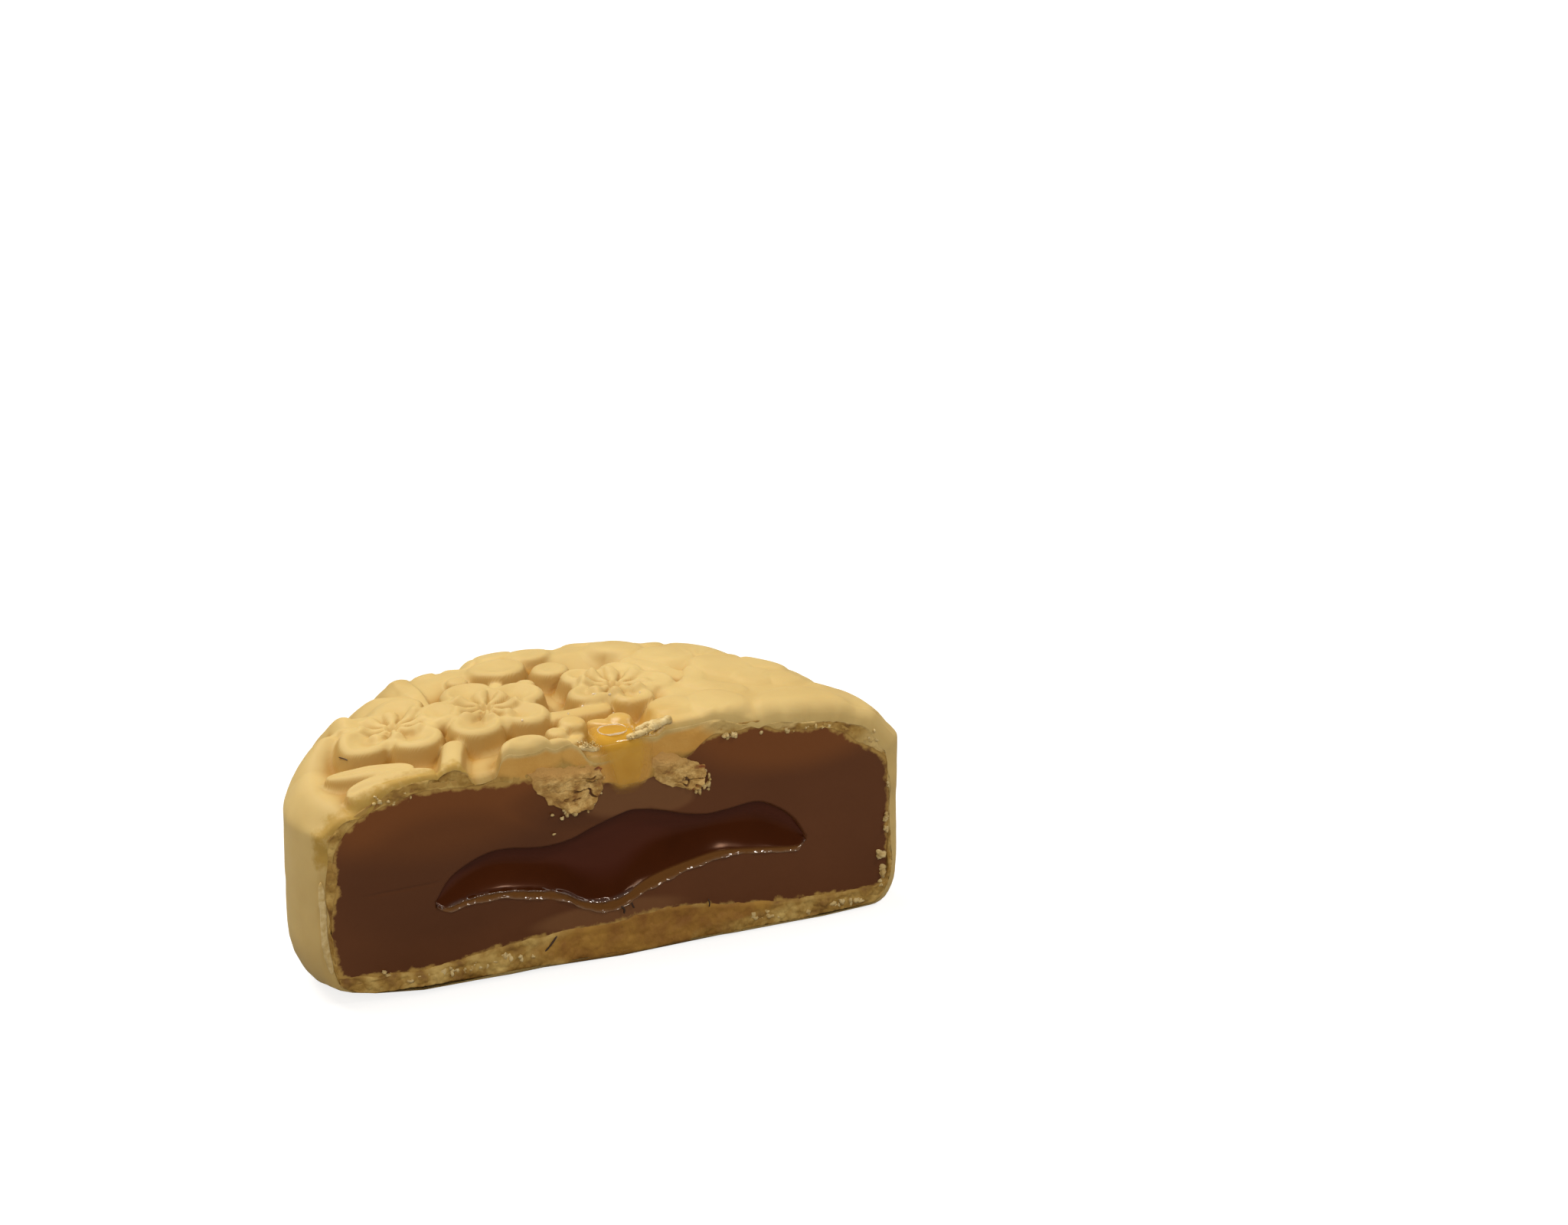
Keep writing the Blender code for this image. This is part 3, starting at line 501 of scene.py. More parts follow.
def embossed(points, base):
    """Height of the top: each raised piece lifts the base to its own level, and the pieces merge softly.
    Then the field fills up between them, and all of it fades out at the rim, whose lobes puff up or sink."""
    spot = to_mould(points)
    level = xyz(spot[..., 0], spot[..., 1], 0.0)
    spot = spot + 0.16 * np.stack([wander(level, 3.1, seed) for seed in (11, 12)], axis=-1)
    height = base.copy()
    for piece, *shape in RELIEF:
        rise, top = piece(spot, *shape)
        height = np.where(rise > 0.0, soft_max(height, base + (FIELD_HEIGHT + top - base) * rise, 0.5), height)
    height = height + needles(spot) * smooth_step(height, FIELD_HEIGHT + 1.2, FIELD_HEIGHT + 2.2)
    fill = 0.85 * field_fill(points)
    on_top = smooth_step(base, FIELD_HEIGHT - RIM_ROUND, FIELD_HEIGHT)
    turn, distance = round_place(points)
    start = round_table(turn, FADE_TURNS, FADE_FROM)
    kept = fall((distance - start) / (FADE_TO - start), 0.0, 1.0)
    notch = (1.0 - lobe_ratio(np.radians(turn))) / (1.0 - NOTCH_RATIO)
    groove = NOTCH_GROOVE * notch ** 2 * smooth_step(distance, 25.0, 31.5)
    groove = groove * round_table(turn, GROOVE_TURNS, GROOVE_SHARE)
    puff = round_table(turn, PUFF_TURNS, PUFF_RISE) * smooth_step(distance, 25.5, 31.0)
    relief = fill * RELIEF_HEIGHT * on_top + above(height, base) * (1.0 - fill)
    return base + (puff - groove) * on_top + kept * relief


def swollen(points):
    """Baked form: the upper part drops towards the rim by the cube of the distance from the middle."""
    reach = np.hypot(points[..., 0], points[..., 1]) / RADIUS
    share = np.clip((points[..., 2] - SWELL_FROM) / (FIELD_HEIGHT + RELIEF_HEIGHT - SWELL_FROM), 0.0, 1.0)
    return points - xyz(0.0, 0.0, SWELL_DROP * reach ** 3 * share)


def foot_flare(points):
    """How far the crumbled foot of the cut stands forward."""
    along = smooth_step(points[..., 0], -31.0, -26.0) * fall(points[..., 0], 20.0, 30.0)
    return FOOT_FLARE * along * fall(points[..., 2], 0.8, 4.0)


def spots(points, entries):
    """How much of soft-edged ovals covers a point of the cut: each has a centre, a half width and a half height."""
    distances = [np.hypot((points[..., 0] - x) / half_width, (points[..., 2] - z) / half_height)
                 for x, z, half_width, half_height in entries]
    return fall(np.min(distances, axis=0), 0.7, 1.1)


def knife_drag(points):
    """The edge that the knife left: a small rounding all along the cut, a little uneven along Y, and a base
    edge that curls up on the left."""
    x, y, z = np.moveaxis(points, -1, 0)
    behind = above(y, CUT_Y)
    flat = xyz(x, 0.0, z)
    upper_right = smooth_step(x, 8.0, 15.0) * smooth_step(z, 14.0, 21.0)
    size = EDGE_ROUND * (1.0 + 0.5 * wander(flat, 2.6, 33)) + RIGHT_EDGE_ROUND * upper_right
    drop = size - np.sqrt(size ** 2 - above(size, behind) ** 2)
    towards = xyz(np.clip(x, -SPINE_HALF, SPINE_HALF), y, SPINE_Z) - points
    moved = points + towards / (np.linalg.norm(towards, axis=-1, keepdims=True) + 0.001) * drop[..., None]
    torn = 0.16 * rugged(flat, 1.9, 31) * (1.0 - spots(points, SMOOTH_SPOTS))
    moved[..., 1] += np.exp(-behind / 0.55) * (torn - 0.05 - foot_flare(points))
    curl = (np.interp(x, CURL_X, CURL_RISE) + 0.15 * wander(flat, 3.3, 34)) * bell(behind, 5.0)
    moved[..., 2] = np.where(moved[..., 2] < 4.0, soft_max(moved[..., 2], curl, 0.6), moved[..., 2])
    return moved


def top_points(reach, turn):
    """Points of the top: reach 0 at the middle of the cut and 1 where the rim starts to round, turn 0 to 1."""
    outline, _ = half_outline(turn)
    middle = np.array([0.0, CUT_Y])
    flat = middle + (inset(outline, RIM_ROUND) - middle) * reach[..., None]
    return xyz(flat[..., 0], flat[..., 1], embossed(flat, np.full(reach.shape, FIELD_HEIGHT)))


def wall_points(step, turn):
    """Points of the side: step 0 to 1 rounds the rim, 1 to 2 goes down the wall, 2 to 3 rounds the foot."""
    outline, place = half_outline(turn)
    foot = BASE_ROUND - BASE_ROUND_LEAN * np.cos(place)
    rim_turn = (1.0 - np.clip(step, 0.0, 1.0)) * math.pi / 2.0
    foot_turn = np.clip(step - 2.0, 0.0, 1.0) * math.pi / 2.0
    flat = inset(outline, RIM_ROUND * (1.0 - np.cos(rim_turn)) + foot * (1.0 - np.cos(foot_turn)))
    wall_top, wall_foot = FIELD_HEIGHT - RIM_ROUND, foot * BASE_ROUND_RISE
    rim = FIELD_HEIGHT - RIM_ROUND * (1.0 - np.sin(rim_turn))
    wall = wall_top + (wall_foot - wall_top) * np.clip(step - 1.0, 0.0, 1.0)
    height = np.where(step <= 1.0, rim, np.where(step <= 2.0, wall, wall_foot * (1.0 - np.sin(foot_turn))))
    height = np.where(step < 1.0, embossed(flat, height), height)
    return xyz(flat[..., 0], flat[..., 1], height)


def finished(points):
    """Swelling, the slow unevenness of dough and the knife's drag, for any point of the outer skin."""
    points = swollen(points)
    shift = 0.16 * wanders(points, 7.0, 21) + 0.03 * wanders(points, 1.6, 24)
    shift *= smooth_step(points[..., 2], 0.4, 3.0)[..., None]
    shift[..., 1] *= np.clip(points[..., 1] - CUT_Y, 0.0, 1.0)
    return knife_drag(points + shift)


TOP_RINGS = 178
WALL_STEPS = np.concatenate([
    np.linspace(0.0, 1.0, 9)[1:], 1.0 + np.linspace(0.0, 1.0, 27)[1:], 2.0 + np.linspace(0.0, 1.0, 8)[1:]])
BASE_SHARES = np.array([0.8, 0.45])


def make_crust_shell(material):
    """Skin of the crust. The top is a half disc of square cells: rings round the middle of the cut, each with
    one point more on every side. The wall goes on from its outer ring, and the base closes on one point."""
    across, behind = np.meshgrid(np.arange(-TOP_RINGS, TOP_RINGS + 1.0), np.arange(TOP_RINGS + 1.0))
    ring = np.maximum(np.abs(across), behind)
    safe = np.maximum(ring, 1.0)
    turn = np.where(np.abs(across) >= behind, behind / safe / 4.0, 0.5 - np.abs(across) / safe / 4.0)
    turn = np.where(across < 0.0, 1.0 - turn, turn)
    top = top_points(ring / TOP_RINGS, turn)
    top_index = np.arange(ring.size).reshape(ring.shape)
    edge = np.concatenate([top_index[:-1, -1], top_index[-1, ::-1], top_index[-2::-1, 0]])
    wall = wall_points(*np.meshgrid(WALL_STEPS, turn.ravel()[edge], indexing="ij"))
    middle = np.array([0.0, CUT_Y, 0.0])
    base = middle + (wall[-1] - middle) * BASE_SHARES[:, None, None]
    points = np.concatenate([part.reshape(-1, 3) for part in (top, wall, base, middle)])
    below = ring.size + np.arange((len(wall) + len(base)) * len(edge)).reshape(-1, len(edge))
    rows = np.vstack([edge, below])
    faces = [quads(top_index), quads(rows)[:, ::-1], fan(rows[-1, ::-1], len(points) - 1)]
    height = top[..., 2]
    # The hollow mark is painted shade: deep amber where the top lies below its smoothed height, and on steep walls
    sunken = smooth_step(smoothed(smoothed(height, 8), 8) - height, 0.0, 1.1)
    slope = np.hypot(*np.gradient(height)) * TOP_RINGS / RADIUS
    hollow = np.maximum(sunken, 0.6 * smooth_step(slope, 1.0, 2.2)).ravel()
    marks = {"hollow": np.pad(hollow, (0, len(points) - len(hollow))), "wet": wetness(points),
             "torn": torn_rim(points)}
    return make_piece("crust_shell", finished(points), faces, material, ("crust",), marks)


def smoothed(field, reach):
    """A grid of values, each replaced by the mean of its neighbours within a reach, by running sums."""
    for _ in range(2):
        padded = np.pad(field, ((reach + 1, reach), (0, 0)), mode="edge").cumsum(axis=0)
        field = ((padded[2 * reach + 1:] - padded[:-2 * reach - 1]) / (2 * reach + 1)).T
    return field


def wetness(points):
    """How wet with syrup a point is: an oval round the middle of the cut's top edge."""
    x, y, z = points.T
    return bell(above(np.abs(x - 0.8), 1.5), 3.5) * bell(above(y, 1.0), 4.5) * bell(above(21.5, z), 2.0)


def torn_rim(points):
    """How crumbled the skin is beside the cut: a narrow strip along its top and left edge, widest at the left."""
    x, y, z = points.T
    left = fall(x, -19.0, -12.0)
    return (0.35 + 0.65 * left) * smooth_step(z, 15.0, 19.0) * bell(y - CUT_Y, 0.5 + 1.3 * left)


def cut_outline(count):
    """The skin's edge on the cut, evenly spaced, from the middle of the base to the left and once round."""
    reach, steps = np.linspace(0.0, 1.0, 1200), np.linspace(0.0, 3.0, 500)
    right, left = (
        finished(np.concatenate([top_points(reach, 0.0 * reach + turn), wall_points(steps, 0.0 * steps + turn)[1:]]))
        for turn in (0.0, 1.0))
    middle = [[0.0, CUT_Y, 0.0]]
    loop = np.vstack([middle, left[::-1], right[1:], middle])
    run = np.concatenate([[0.0], np.cumsum(np.linalg.norm(np.diff(loop, axis=0), axis=-1))])
    even = np.linspace(0.0, run[-1], count + 1)[:-1]
    return np.stack([np.interp(even, run, loop[:, axis]) for axis in range(3)], axis=-1)


SPINE_END = 22.0
SPINE_RUN = 4.0 * SPINE_HALF + 2.0 * SPINE_END


def to_spine(points):
    """Place round a level line in the middle of the cut, and distance from it, for points X and Z."""
    x, z = points[..., 0], points[..., 1] - SPINE_Z
    beyond = x - np.clip(x, -SPINE_HALF, SPINE_HALF)
    end = (0.5 - np.arctan2(z, np.abs(beyond)) / math.pi) * SPINE_END
    place = np.where(z >= 0.0, SPINE_HALF + x, 3.0 * SPINE_HALF + SPINE_END - x)
    place = np.where(beyond > 0.0, 2.0 * SPINE_HALF + end, place)
    place = np.where(beyond < 0.0, SPINE_RUN - end, place)
    return place % SPINE_RUN, np.hypot(beyond, z)


def border_distance(place):
    """Distance of the filling's border from the spine, at places round it."""
    border_place, distance = to_spine(spline(FILLING_BORDER + FILLING_BORDER[:1], 900))
    order = np.argsort(border_place)
    return np.interp(place, border_place[order], distance[order], period=SPINE_RUN)


def from_outline_to_border(outline, share):
    """Points between the skin's edge at share 0 and the filling's border at share 1, towards the spine."""
    flat = outline[:, [0, 2]]
    place, distance = to_spine(flat)
    anchor = np.stack([np.clip(flat[:, 0], -SPINE_HALF, SPINE_HALF), np.full(len(flat), SPINE_Z)], axis=-1)
    border = border_distance(place) + 0.16 * rugged(xyz(flat[:, 0], flat[:, 1], 0.0), 1.5, 43)
    reach = 1.0 + (border / distance - 1.0) * share[:, None]
    return anchor + (flat - anchor) * reach[..., None]


BAND_COLUMNS = 1800
BAND_SHARES = np.concatenate([np.linspace(0.0, 1.0, 24), [1.1, 1.25, 1.45]])
LINING_DEPTH = 27.0
SMOOTH_SPOTS = ((-10.8, 25.2, 5.6, 2.5), (-4.6, 24.6, 2.6, 1.6), (6.2, 24.4, 4.9, 2.2), (0.5, 22.5, 3.4, 4.0))
AMBER_SPOTS = ((1.5, 2.6, 12.0, 2.8), (12.5, 3.4, 6.0, 1.6))
SKIN_SPOTS = ((31.4, 20.6, 4.6, 2.1), (32.9, 12.0, 1.5, 9.5), (20.5, 25.8, 13.0, 2.3))


def make_crust_cut(material):
    """The crumbled face of the crust at the cut, from the skin's edge to just under the filling's border,
    with a lip turned in behind the skin and a lining that closes it behind the filling."""
    outline = cut_outline(BAND_COLUMNS)
    flat = from_outline_to_border(outline, BAND_SHARES)
    share = BAND_SHARES[:, None]
    plain = xyz(flat[..., 0], CUT_Y, flat[..., 1])
    smooth, amber, skin = (spots(plain, entries) for entries in (SMOOTH_SPOTS, AMBER_SPOTS, SKIN_SPOTS))
    rough = (1.0 - 0.92 * smooth) * (1.0 - 0.35 * amber) * (1.0 - 0.5 * skin)
    crags = 0.20 * rugged(plain, 1.7, 41, 4) - 0.15 * smooth_step(clumps(plain, 0.8, 42), 0.35, 0.75)
    crags = crags * rough * (1.0 - 0.8 * smooth_step(share, 0.75, 0.97)) + 0.10 * wander(plain, 4.5, 44)
    face = CUT_Y - 0.06 - crags - foot_flare(plain) + 1.5 * smooth_step(share, 0.99, 1.45)
    blend = smooth_step(share, 0.0, 0.12 + 0.3 * smooth)
    band = xyz(flat[..., 0], outline[:, 1] * (1.0 - blend) + face * blend, flat[..., 1])
    band[0] = outline
    centre = np.array([0.0, 0.0, SPINE_Z])
    lip = outline + (centre - outline) * 0.012 + np.array([0.0, 0.5, 0.0])
    turn = np.linspace(0.15, 1.0, 8)[:, None] * math.pi / 2.0
    lining = centre + (band[-1] - centre) * np.cos(turn)[..., None]
    lining[..., 1] = CUT_Y + 1.3 + LINING_DEPTH * np.sin(turn)
    rows = np.concatenate([lip[None], band, lining[:-1]])
    index = np.arange(len(rows) * BAND_COLUMNS).reshape(-1, BAND_COLUMNS)
    index = np.hstack([index, index[:, :1]])
    points = np.vstack([rows.reshape(-1, 3), lining[-1].mean(axis=0)])
    edge = fall(np.concatenate([[0.0], BAND_SHARES, np.ones(7)]), 0.05, 0.2)
    edge = np.append(np.repeat(edge, BAND_COLUMNS), 0.0)
    edge = edge * smooth_step(points[:, 0], -20.0, -12.0) * smooth_step(points[:, 2], 8.0, 14.0)
    blur = points + 0.5 * wanders(points, 1.2, 45)
    marks = {
        "smooth": spots(blur, SMOOTH_SPOTS), "amber": spots(blur, AMBER_SPOTS),
        "skin": np.maximum(edge, spots(blur, SKIN_SPOTS)),
    }
    faces = [quads(index)[:, ::-1], fan(index[-1, ::-1], len(points) - 1)]
    return make_piece("crust_cut", points, faces, material, marks=marks)


def lips(x):
    """Heights of the jam's upper and lower lip at X."""
    return [np.interp(x, *spline(lip, 400).T) for lip in (JAM_UPPER, JAM_LOWER)]


def pocket(x, z):
    """Depth of the hollow round the jam: level on the cut, then a rounded wall down behind the jam."""
    upper, lower = lips(x)
    inside = np.min([upper - z, z - lower, x - JAM_UPPER[0][0], JAM_UPPER[-1][0] - x], axis=0)
    return POCKET_DEPTH * smooth_step(inside, -0.25, 1.3)


def near_crust(points):
    """1 at the filling's border on the cut, falling to 0 further in."""
    place, distance = to_spine(points[:, [0, 2]])
    return fall(border_distance(place) - distance, -0.2, 1.3)


PASTE_COLUMNS = 420
PASTE_ROWS = 170
PASTE_MARGIN = 0.7
PASTE_ENDS = (-31.9, 31.3)
PASTE_DEPTH = 24.0
POCKET_DEPTH = 3.2
WARM_SPOTS = ((-20.0, 24.5, 17.0, 10.0), (20.0, 26.0, 15.0, 8.0))
MILKY_SPOTS = ((0.6, 18.6, 5.5, 2.4), (5.5, 17.6, 3.0, 1.6), (-1.6, 5.2, 9.0, 1.6))
SHADED_SPOTS = ((-19.0, 13.0, 13.0, 8.0), (-2.0, 19.0, 12.0, 3.5))


def make_paste(material):
    """The bean paste: sections along the cut. Each goes up the face and back down behind it in an arc."""
    x = np.linspace(*PASTE_ENDS, PASTE_COLUMNS)
    loop = spline(FILLING_BORDER + FILLING_BORDER[:1], 1600)
    loop = loop[np.argsort(loop[:, 0])]
    is_upper = loop[:, 1] >= SPINE_Z
    high = np.interp(x, *loop[is_upper].T) + PASTE_MARGIN
    low = np.interp(x, *loop[~is_upper].T) - PASTE_MARGIN
    z = low[:, None] + (high - low)[:, None] * np.linspace(0.0, 1.0, PASTE_ROWS)
    flat = xyz(x[:, None], CUT_Y, z)
    along = flat[..., 0]
    crease = bell(z - 12.4 - 0.02 * (along + 24.0), 0.16) * smooth_step(along, -29.0, -26.5) * fall(along, -21.5, -19.5)
    face = CUT_Y + 0.08 + pocket(along, z) + 0.05 * wander(flat, 6.0, 51) + 0.012 * wander(flat, 0.9, 52)
    deep = PASTE_DEPTH * np.sqrt(above(1.0, (x / PASTE_ENDS[0]) ** 2)) + 0.6
    back = arc_behind(x, high, low, CUT_Y, deep, 12)
    points, faces = closed_tube(np.hstack([xyz(along, face + 0.10 * crease, z), back]))
    marks = {
        "warm": spots(points, WARM_SPOTS), "milky": spots(points, MILKY_SPOTS),
        "shaded": spots(points, SHADED_SPOTS), "near_crust": near_crust(points),
    }
    return make_piece("bean_paste", points, faces, material, ("filling",), marks)


JAM_COLUMNS = 320
JAM_HOLLOW = 1.6
JAM_DEPTH = 12.0
JAM_HALF = 21.2
BEAD = 0.16
BEAD_RISE = 0.21


def make_jam(material):
    """The osmanthus jam: sections along the cut, each a hollow from the upper lip down to the lower lip,
    then a thin film that lies on the paste and ends in a rounded bead."""
    x = np.linspace(JAM_UPPER[0][0] + 0.02, JAM_UPPER[-1][0] - 0.02, JAM_COLUMNS)
    upper, lower = (lip[:, None] for lip in lips(x))
    down = np.linspace(0.0, 1.0, 90)
    film = np.linspace(0.0, 1.0, 40)[1:]
    line = xyz(x, 0.0, 0.0)
    width = (np.interp(x, FILM_X, FILM_WIDTH) * (1.0 + 0.12 * rugged(line, 1.9, 64)))[:, None]
    z = upper + 0.25 - (np.maximum(upper - lower, 0.05) + 0.25) * down
    ends = smooth_step(np.minimum(x - x[0], x[-1] - x), 0.0, 6.0)[:, None]
    hollow = JAM_HOLLOW * np.sin(math.pi * down ** 0.75) ** 0.8 * (0.35 + 0.65 * ends) + 0.45 * fall(down, 0.0, 0.3)
    hollow = hollow + 0.05 * wander(xyz(x[:, None], CUT_Y, z), 3.0, 61)
    z = np.hstack([z, lower - width * film])
    on_lip = bell(z - lower, BEAD) * fall(x, -1.0, 3.0)[:, None]
    at_end = np.exp(-((z - lower + width) / BEAD - 1.3) ** 2)
    bead = np.maximum(on_lip, at_end) * (0.75 + 0.5 * rugged(line, 0.7, 63))[:, None]
    film_y = np.broadcast_to(0.2 * smooth_step(film, 0.94, 1.0), (len(x), len(film)))
    face = CUT_Y + 0.02 + np.hstack([hollow, film_y]) - BEAD_RISE * bead
    deep = JAM_DEPTH * np.sqrt(above(1.0, ((x - JAM_X) / JAM_HALF) ** 2)) + 0.8
    back = arc_behind(x, (lower - width)[:, 0], upper[:, 0], CUT_Y + 0.4, deep, 10)
    points, faces = closed_tube(np.hstack([xyz(x[:, None], face, z)[:, ::-1], back[:, ::-1]]))
    high, low = lips(points[:, 0])
    level = (points[:, 2] - low) / np.maximum(high - low, 0.3)
    marks = {
        "film": smooth_step(low - points[:, 2], -0.15, 0.2),
        "bead": tube_mark(np.clip(1.7 * bead, 0.0, 1.0)[:, ::-1], back.shape[1]),
        # The sheen mark is a painted reflection: lighter purple-brown over the upper part of the hollow
        "sheen": smooth_step(level + 0.35 * bell(points[:, 0] + 1.0, 5.5), 0.45, 0.75),
    }
    return make_piece("osmanthus_jam_heart", points, faces, material, ("osmanthus_jam",), marks)


# What lies on the cut and on the top: crumb patches, torn strips, loose grains, threads and syrup

LEFT_PATCH = (
    (-10.5, 23.2), (-9.6, 23.6), (-8.1, 23.5), (-6.3, 23.5), (-4.5, 23.3), (-2.7, 22.6), (-2.0, 21.7), (-2.2, 20.0),
    (-2.8, 19.0), (-3.4, 18.1), (-4.6, 17.9), (-5.6, 17.6), (-6.9, 18.7), (-8.1, 19.3), (-8.5, 20.2), (-9.4, 20.7),
    (-10.0, 21.9),
)
RIGHT_PATCH = (
    (3.4, 22.6), (4.3, 23.1), (6.0, 22.6), (7.6, 21.7), (9.2, 20.7), (9.6, 19.8), (9.4, 18.6), (8.4, 18.1),
    (7.1, 18.5), (5.8, 19.0), (4.5, 19.5), (3.7, 20.5),
)
PATCH_CELL = 0.045


def inside_loop(x, z, loop):
    """Distance from a closed outline, positive inside: the nearest side, signed by how often a ray crosses it."""
    nearest = np.full(x.shape, 99.0)
    inside = np.zeros(x.shape, bool)
    for (x0, z0), (x1, z1) in zip(loop, loop[1:] + loop[:1]):
        run_x, run_z = x1 - x0, z1 - z0
        share = np.clip(((x - x0) * run_x + (z - z0) * run_z) / (run_x ** 2 + run_z ** 2), 0.0, 1.0)
        nearest = np.minimum(nearest, np.hypot(x - x0 - share * run_x, z - z0 - share * run_z))
        inside ^= ((z0 > z) != (z1 > z)) & (x < x0 + (z - z0) * run_x / (run_z or 1e-9))
    return np.where(inside, nearest, -nearest)


def make_crumb_patch(name, loop, loose_from, seed, material):
    """A patch of broken crust on the cut: lumps of three sizes parted by cracks, sinking away at its outline.
    It is looser towards the lower right, where X less Z is above a value."""
    low, high = np.min(loop, axis=0) - 0.5, np.max(loop, axis=0) + 0.5
    along, up = np.meshgrid(*(np.arange(*ends, PATCH_CELL) for ends in zip(low, high)), indexing="ij")
    flat = xyz(along, 3.0, up)
    flat = flat + 0.25 * xyz(wander(flat, 0.9, seed), 0.0, wander(flat, 0.9, seed + 1))
    inside = inside_loop(along, up, loop) + 0.30 * rugged(flat, 1.1, seed + 2)
    lumps = rugged(flat * np.array([0.8, 1.0, 1.3]), 1.5, seed + 3)
    grains = 0.5 - clumps(flat, 0.62, seed + 6)
    fine = 0.5 - clumps(flat, 0.26, seed + 7)
    loose = smooth_step(along - up, loose_from, loose_from + 4.0)
    vein = np.abs(rugged(flat * np.array([0.7, 1.0, 1.4]), 2.0, seed + 8))
    crack = fall(vein, 0.03, 0.16) * (0.15 + 0.85 * loose)
    crumbs = 0.34 + 0.16 * lumps + 0.34 * grains * (0.4 + 0.6 * loose) + 0.12 * fine - 0.42 * crack
    height = np.where(inside > 0.0, crumbs * smooth_step(inside / (1.15 - 0.9 * loose), 0.0, 1.0), 0.0)
    height = height - 0.9 * smooth_step(-inside, -0.02, 0.2)
    back = xyz(along[:, [-1, 0]], CUT_Y + 1.6, up[:, [-1, 0]])
    points, faces = closed_tube(np.hstack([xyz(along, CUT_Y - 0.05 - height, up), back]))
    top = high[1] - 0.5
    # The mark of the cracks is painted shade: dark where the crumbs sink into cracks and gaps
    marks = {"crack_shade": tube_mark(smooth_step(-crumbs, -0.2, 0.12), 2),
             "whole": tube_mark(smooth_step(up, top - 2.2, top - 0.4), 2)}
    return make_piece(name, points, faces, material, marks=marks)


def strand(path, radius, seed, roughness, flatness, around=10):
    """A closed tube along a path in the cut's plane, its radius uneven, pressed flat along Y."""
    along = unit(np.gradient(path, axis=0))
    side = unit(np.cross(along, np.array([0.0, 1.0, 0.0])))
    other = np.cross(side, along)
    turn = 2.0 * math.pi * np.arange(around)[:, None] / around
    ring = side[:, None] * np.cos(turn) + flatness * other[:, None] * np.sin(turn)
    uneven = 1.0 + roughness * rugged(path[:, None] + ring, 0.7, seed)
    return path[:, None] + ring * (radius[:, None] * uneven)[..., None]


def make_strands(name, entries, material):
    """Several strands in one piece. An entry: points of the path, its radius, seed, roughness and flatness."""
    all_points, all_faces, first = [], [], 0
    for path, radius, *shape in entries:
        path = spline(path, 12 * len(path))
        share = np.linspace(-1.0, 1.0, len(path))
        points, faces = closed_tube(strand(path, radius * (np.sqrt(above(1.0, share ** 6)) + 0.02), *shape))
        all_points.append(points)
        all_faces += [group + first for group in faces]
        first += len(points)
    return make_piece(name, np.vstack(all_points), all_faces, material)


def make_grains(name, places, sizes, seed, material, rows=6, around=9):
    """Loose grains in one piece: balls whose radius wanders, each drawn out at random."""
    draw = np.random.default_rng(seed)
    drop = math.pi * np.arange(1, rows + 1)[:, None] / (rows + 1)
    turn = 2.0 * math.pi * np.arange(around) / around
    one, faces = closed_tube(xyz(np.sin(drop) * np.cos(turn), np.sin(drop) * np.sin(turn), np.cos(drop)))
    stretch = draw.uniform(0.55, 1.25, (len(places), 1, 3))
    offset = draw.uniform(0.0, 30.0, (len(places), 1, 3))
    lumpy = one * (1.0 + 0.6 * wander(one * 1.4 + offset, 0.8, seed))[..., None]
    points = places[:, None] + lumpy * stretch * sizes[:, None, None]
    step = len(one) * np.arange(len(places))[:, None, None]
    groups = [(group + step).reshape(-1, group.shape[1]) for group in faces]
    return make_piece(name, points, groups, material)


def scatter(draw, middle_x, middle_z, spread_x, spread_z, count, size):
    """Places on the cut round a spot, and sizes, for loose grains."""
    x = draw.normal(middle_x, spread_x, count)
    z = draw.normal(middle_z, spread_z, count)
    return xyz(x, CUT_Y - draw.uniform(-0.2, 0.15, count), z), draw.uniform(0.4, 1.0, count) * size


def scatter_along(draw, start, end, count, size):
    """Places along a line, scattered round it most along Y, and sizes."""
    share = draw.uniform(0.0, 1.0, (count, 1))
    jitter = draw.normal(0.0, 1.0, (count, 3)) * np.array([0.12, 0.42, 0.16])
    return start + (end - start) * share + jitter, draw.uniform(0.45, 1.0, count) * size


GRAIN_SPOTS = (
    (31.0, 11.1, 0.10, 0.4, 5, 0.42), (31.0, 9.4, 0.12, 0.2, 4, 0.34), (30.4, 6.5, 0.15, 0.2, 6, 0.50),
    (30.9, 4.4, 0.15, 0.5, 6, 0.44), (30.6, 2.9, 0.15, 0.3, 5, 0.36), (31.1, 14.5, 0.1, 0.9, 5, 0.26),
    (-12.6, 2.4, 1.3, 0.35, 20, 0.46), (-20.4, 1.9, 2.2, 0.3, 22, 0.42), (-16.3, 2.2, 1.6, 0.3, 14, 0.38),
    (17.0, 1.5, 1.2, 0.3, 14, 0.44), (20.6, 1.1, 1.4, 0.2, 12, 0.42), (25.8, 1.3, 1.6, 0.25, 14, 0.42),
    (-26.3, 3.1, 0.5, 0.3, 6, 0.30), (-5.4, 18.1, 1.0, 0.4, 16, 0.32), (9.5, 19.4, 0.25, 0.6, 8, 0.32),
    (8.6, 18.1, 0.6, 0.2, 7, 0.28), (-2.8, 20.4, 0.3, 0.8, 8, 0.26), (12.0, 23.7, 0.6, 0.3, 8, 0.34),
    (-7.7, 15.8, 0.02, 0.02, 1, 0.25), (-25.5, 23.1, 1.6, 0.3, 12, 0.22), (20.4, 23.2, 2.4, 0.25, 10, 0.24),
    (28.6, 20.6, 0.9, 0.4, 7, 0.26),
)
# Torn, ragged edges beside the syrup: their two ends, how many grains and how large
TORN_EDGES = (
    ((-4.7, -0.9, 25.5), (-2.7, -1.1, 25.2), 60, 0.10), ((0.7, -0.9, 25.6), (5.6, -0.6, 26.5), 160, 0.12),
)


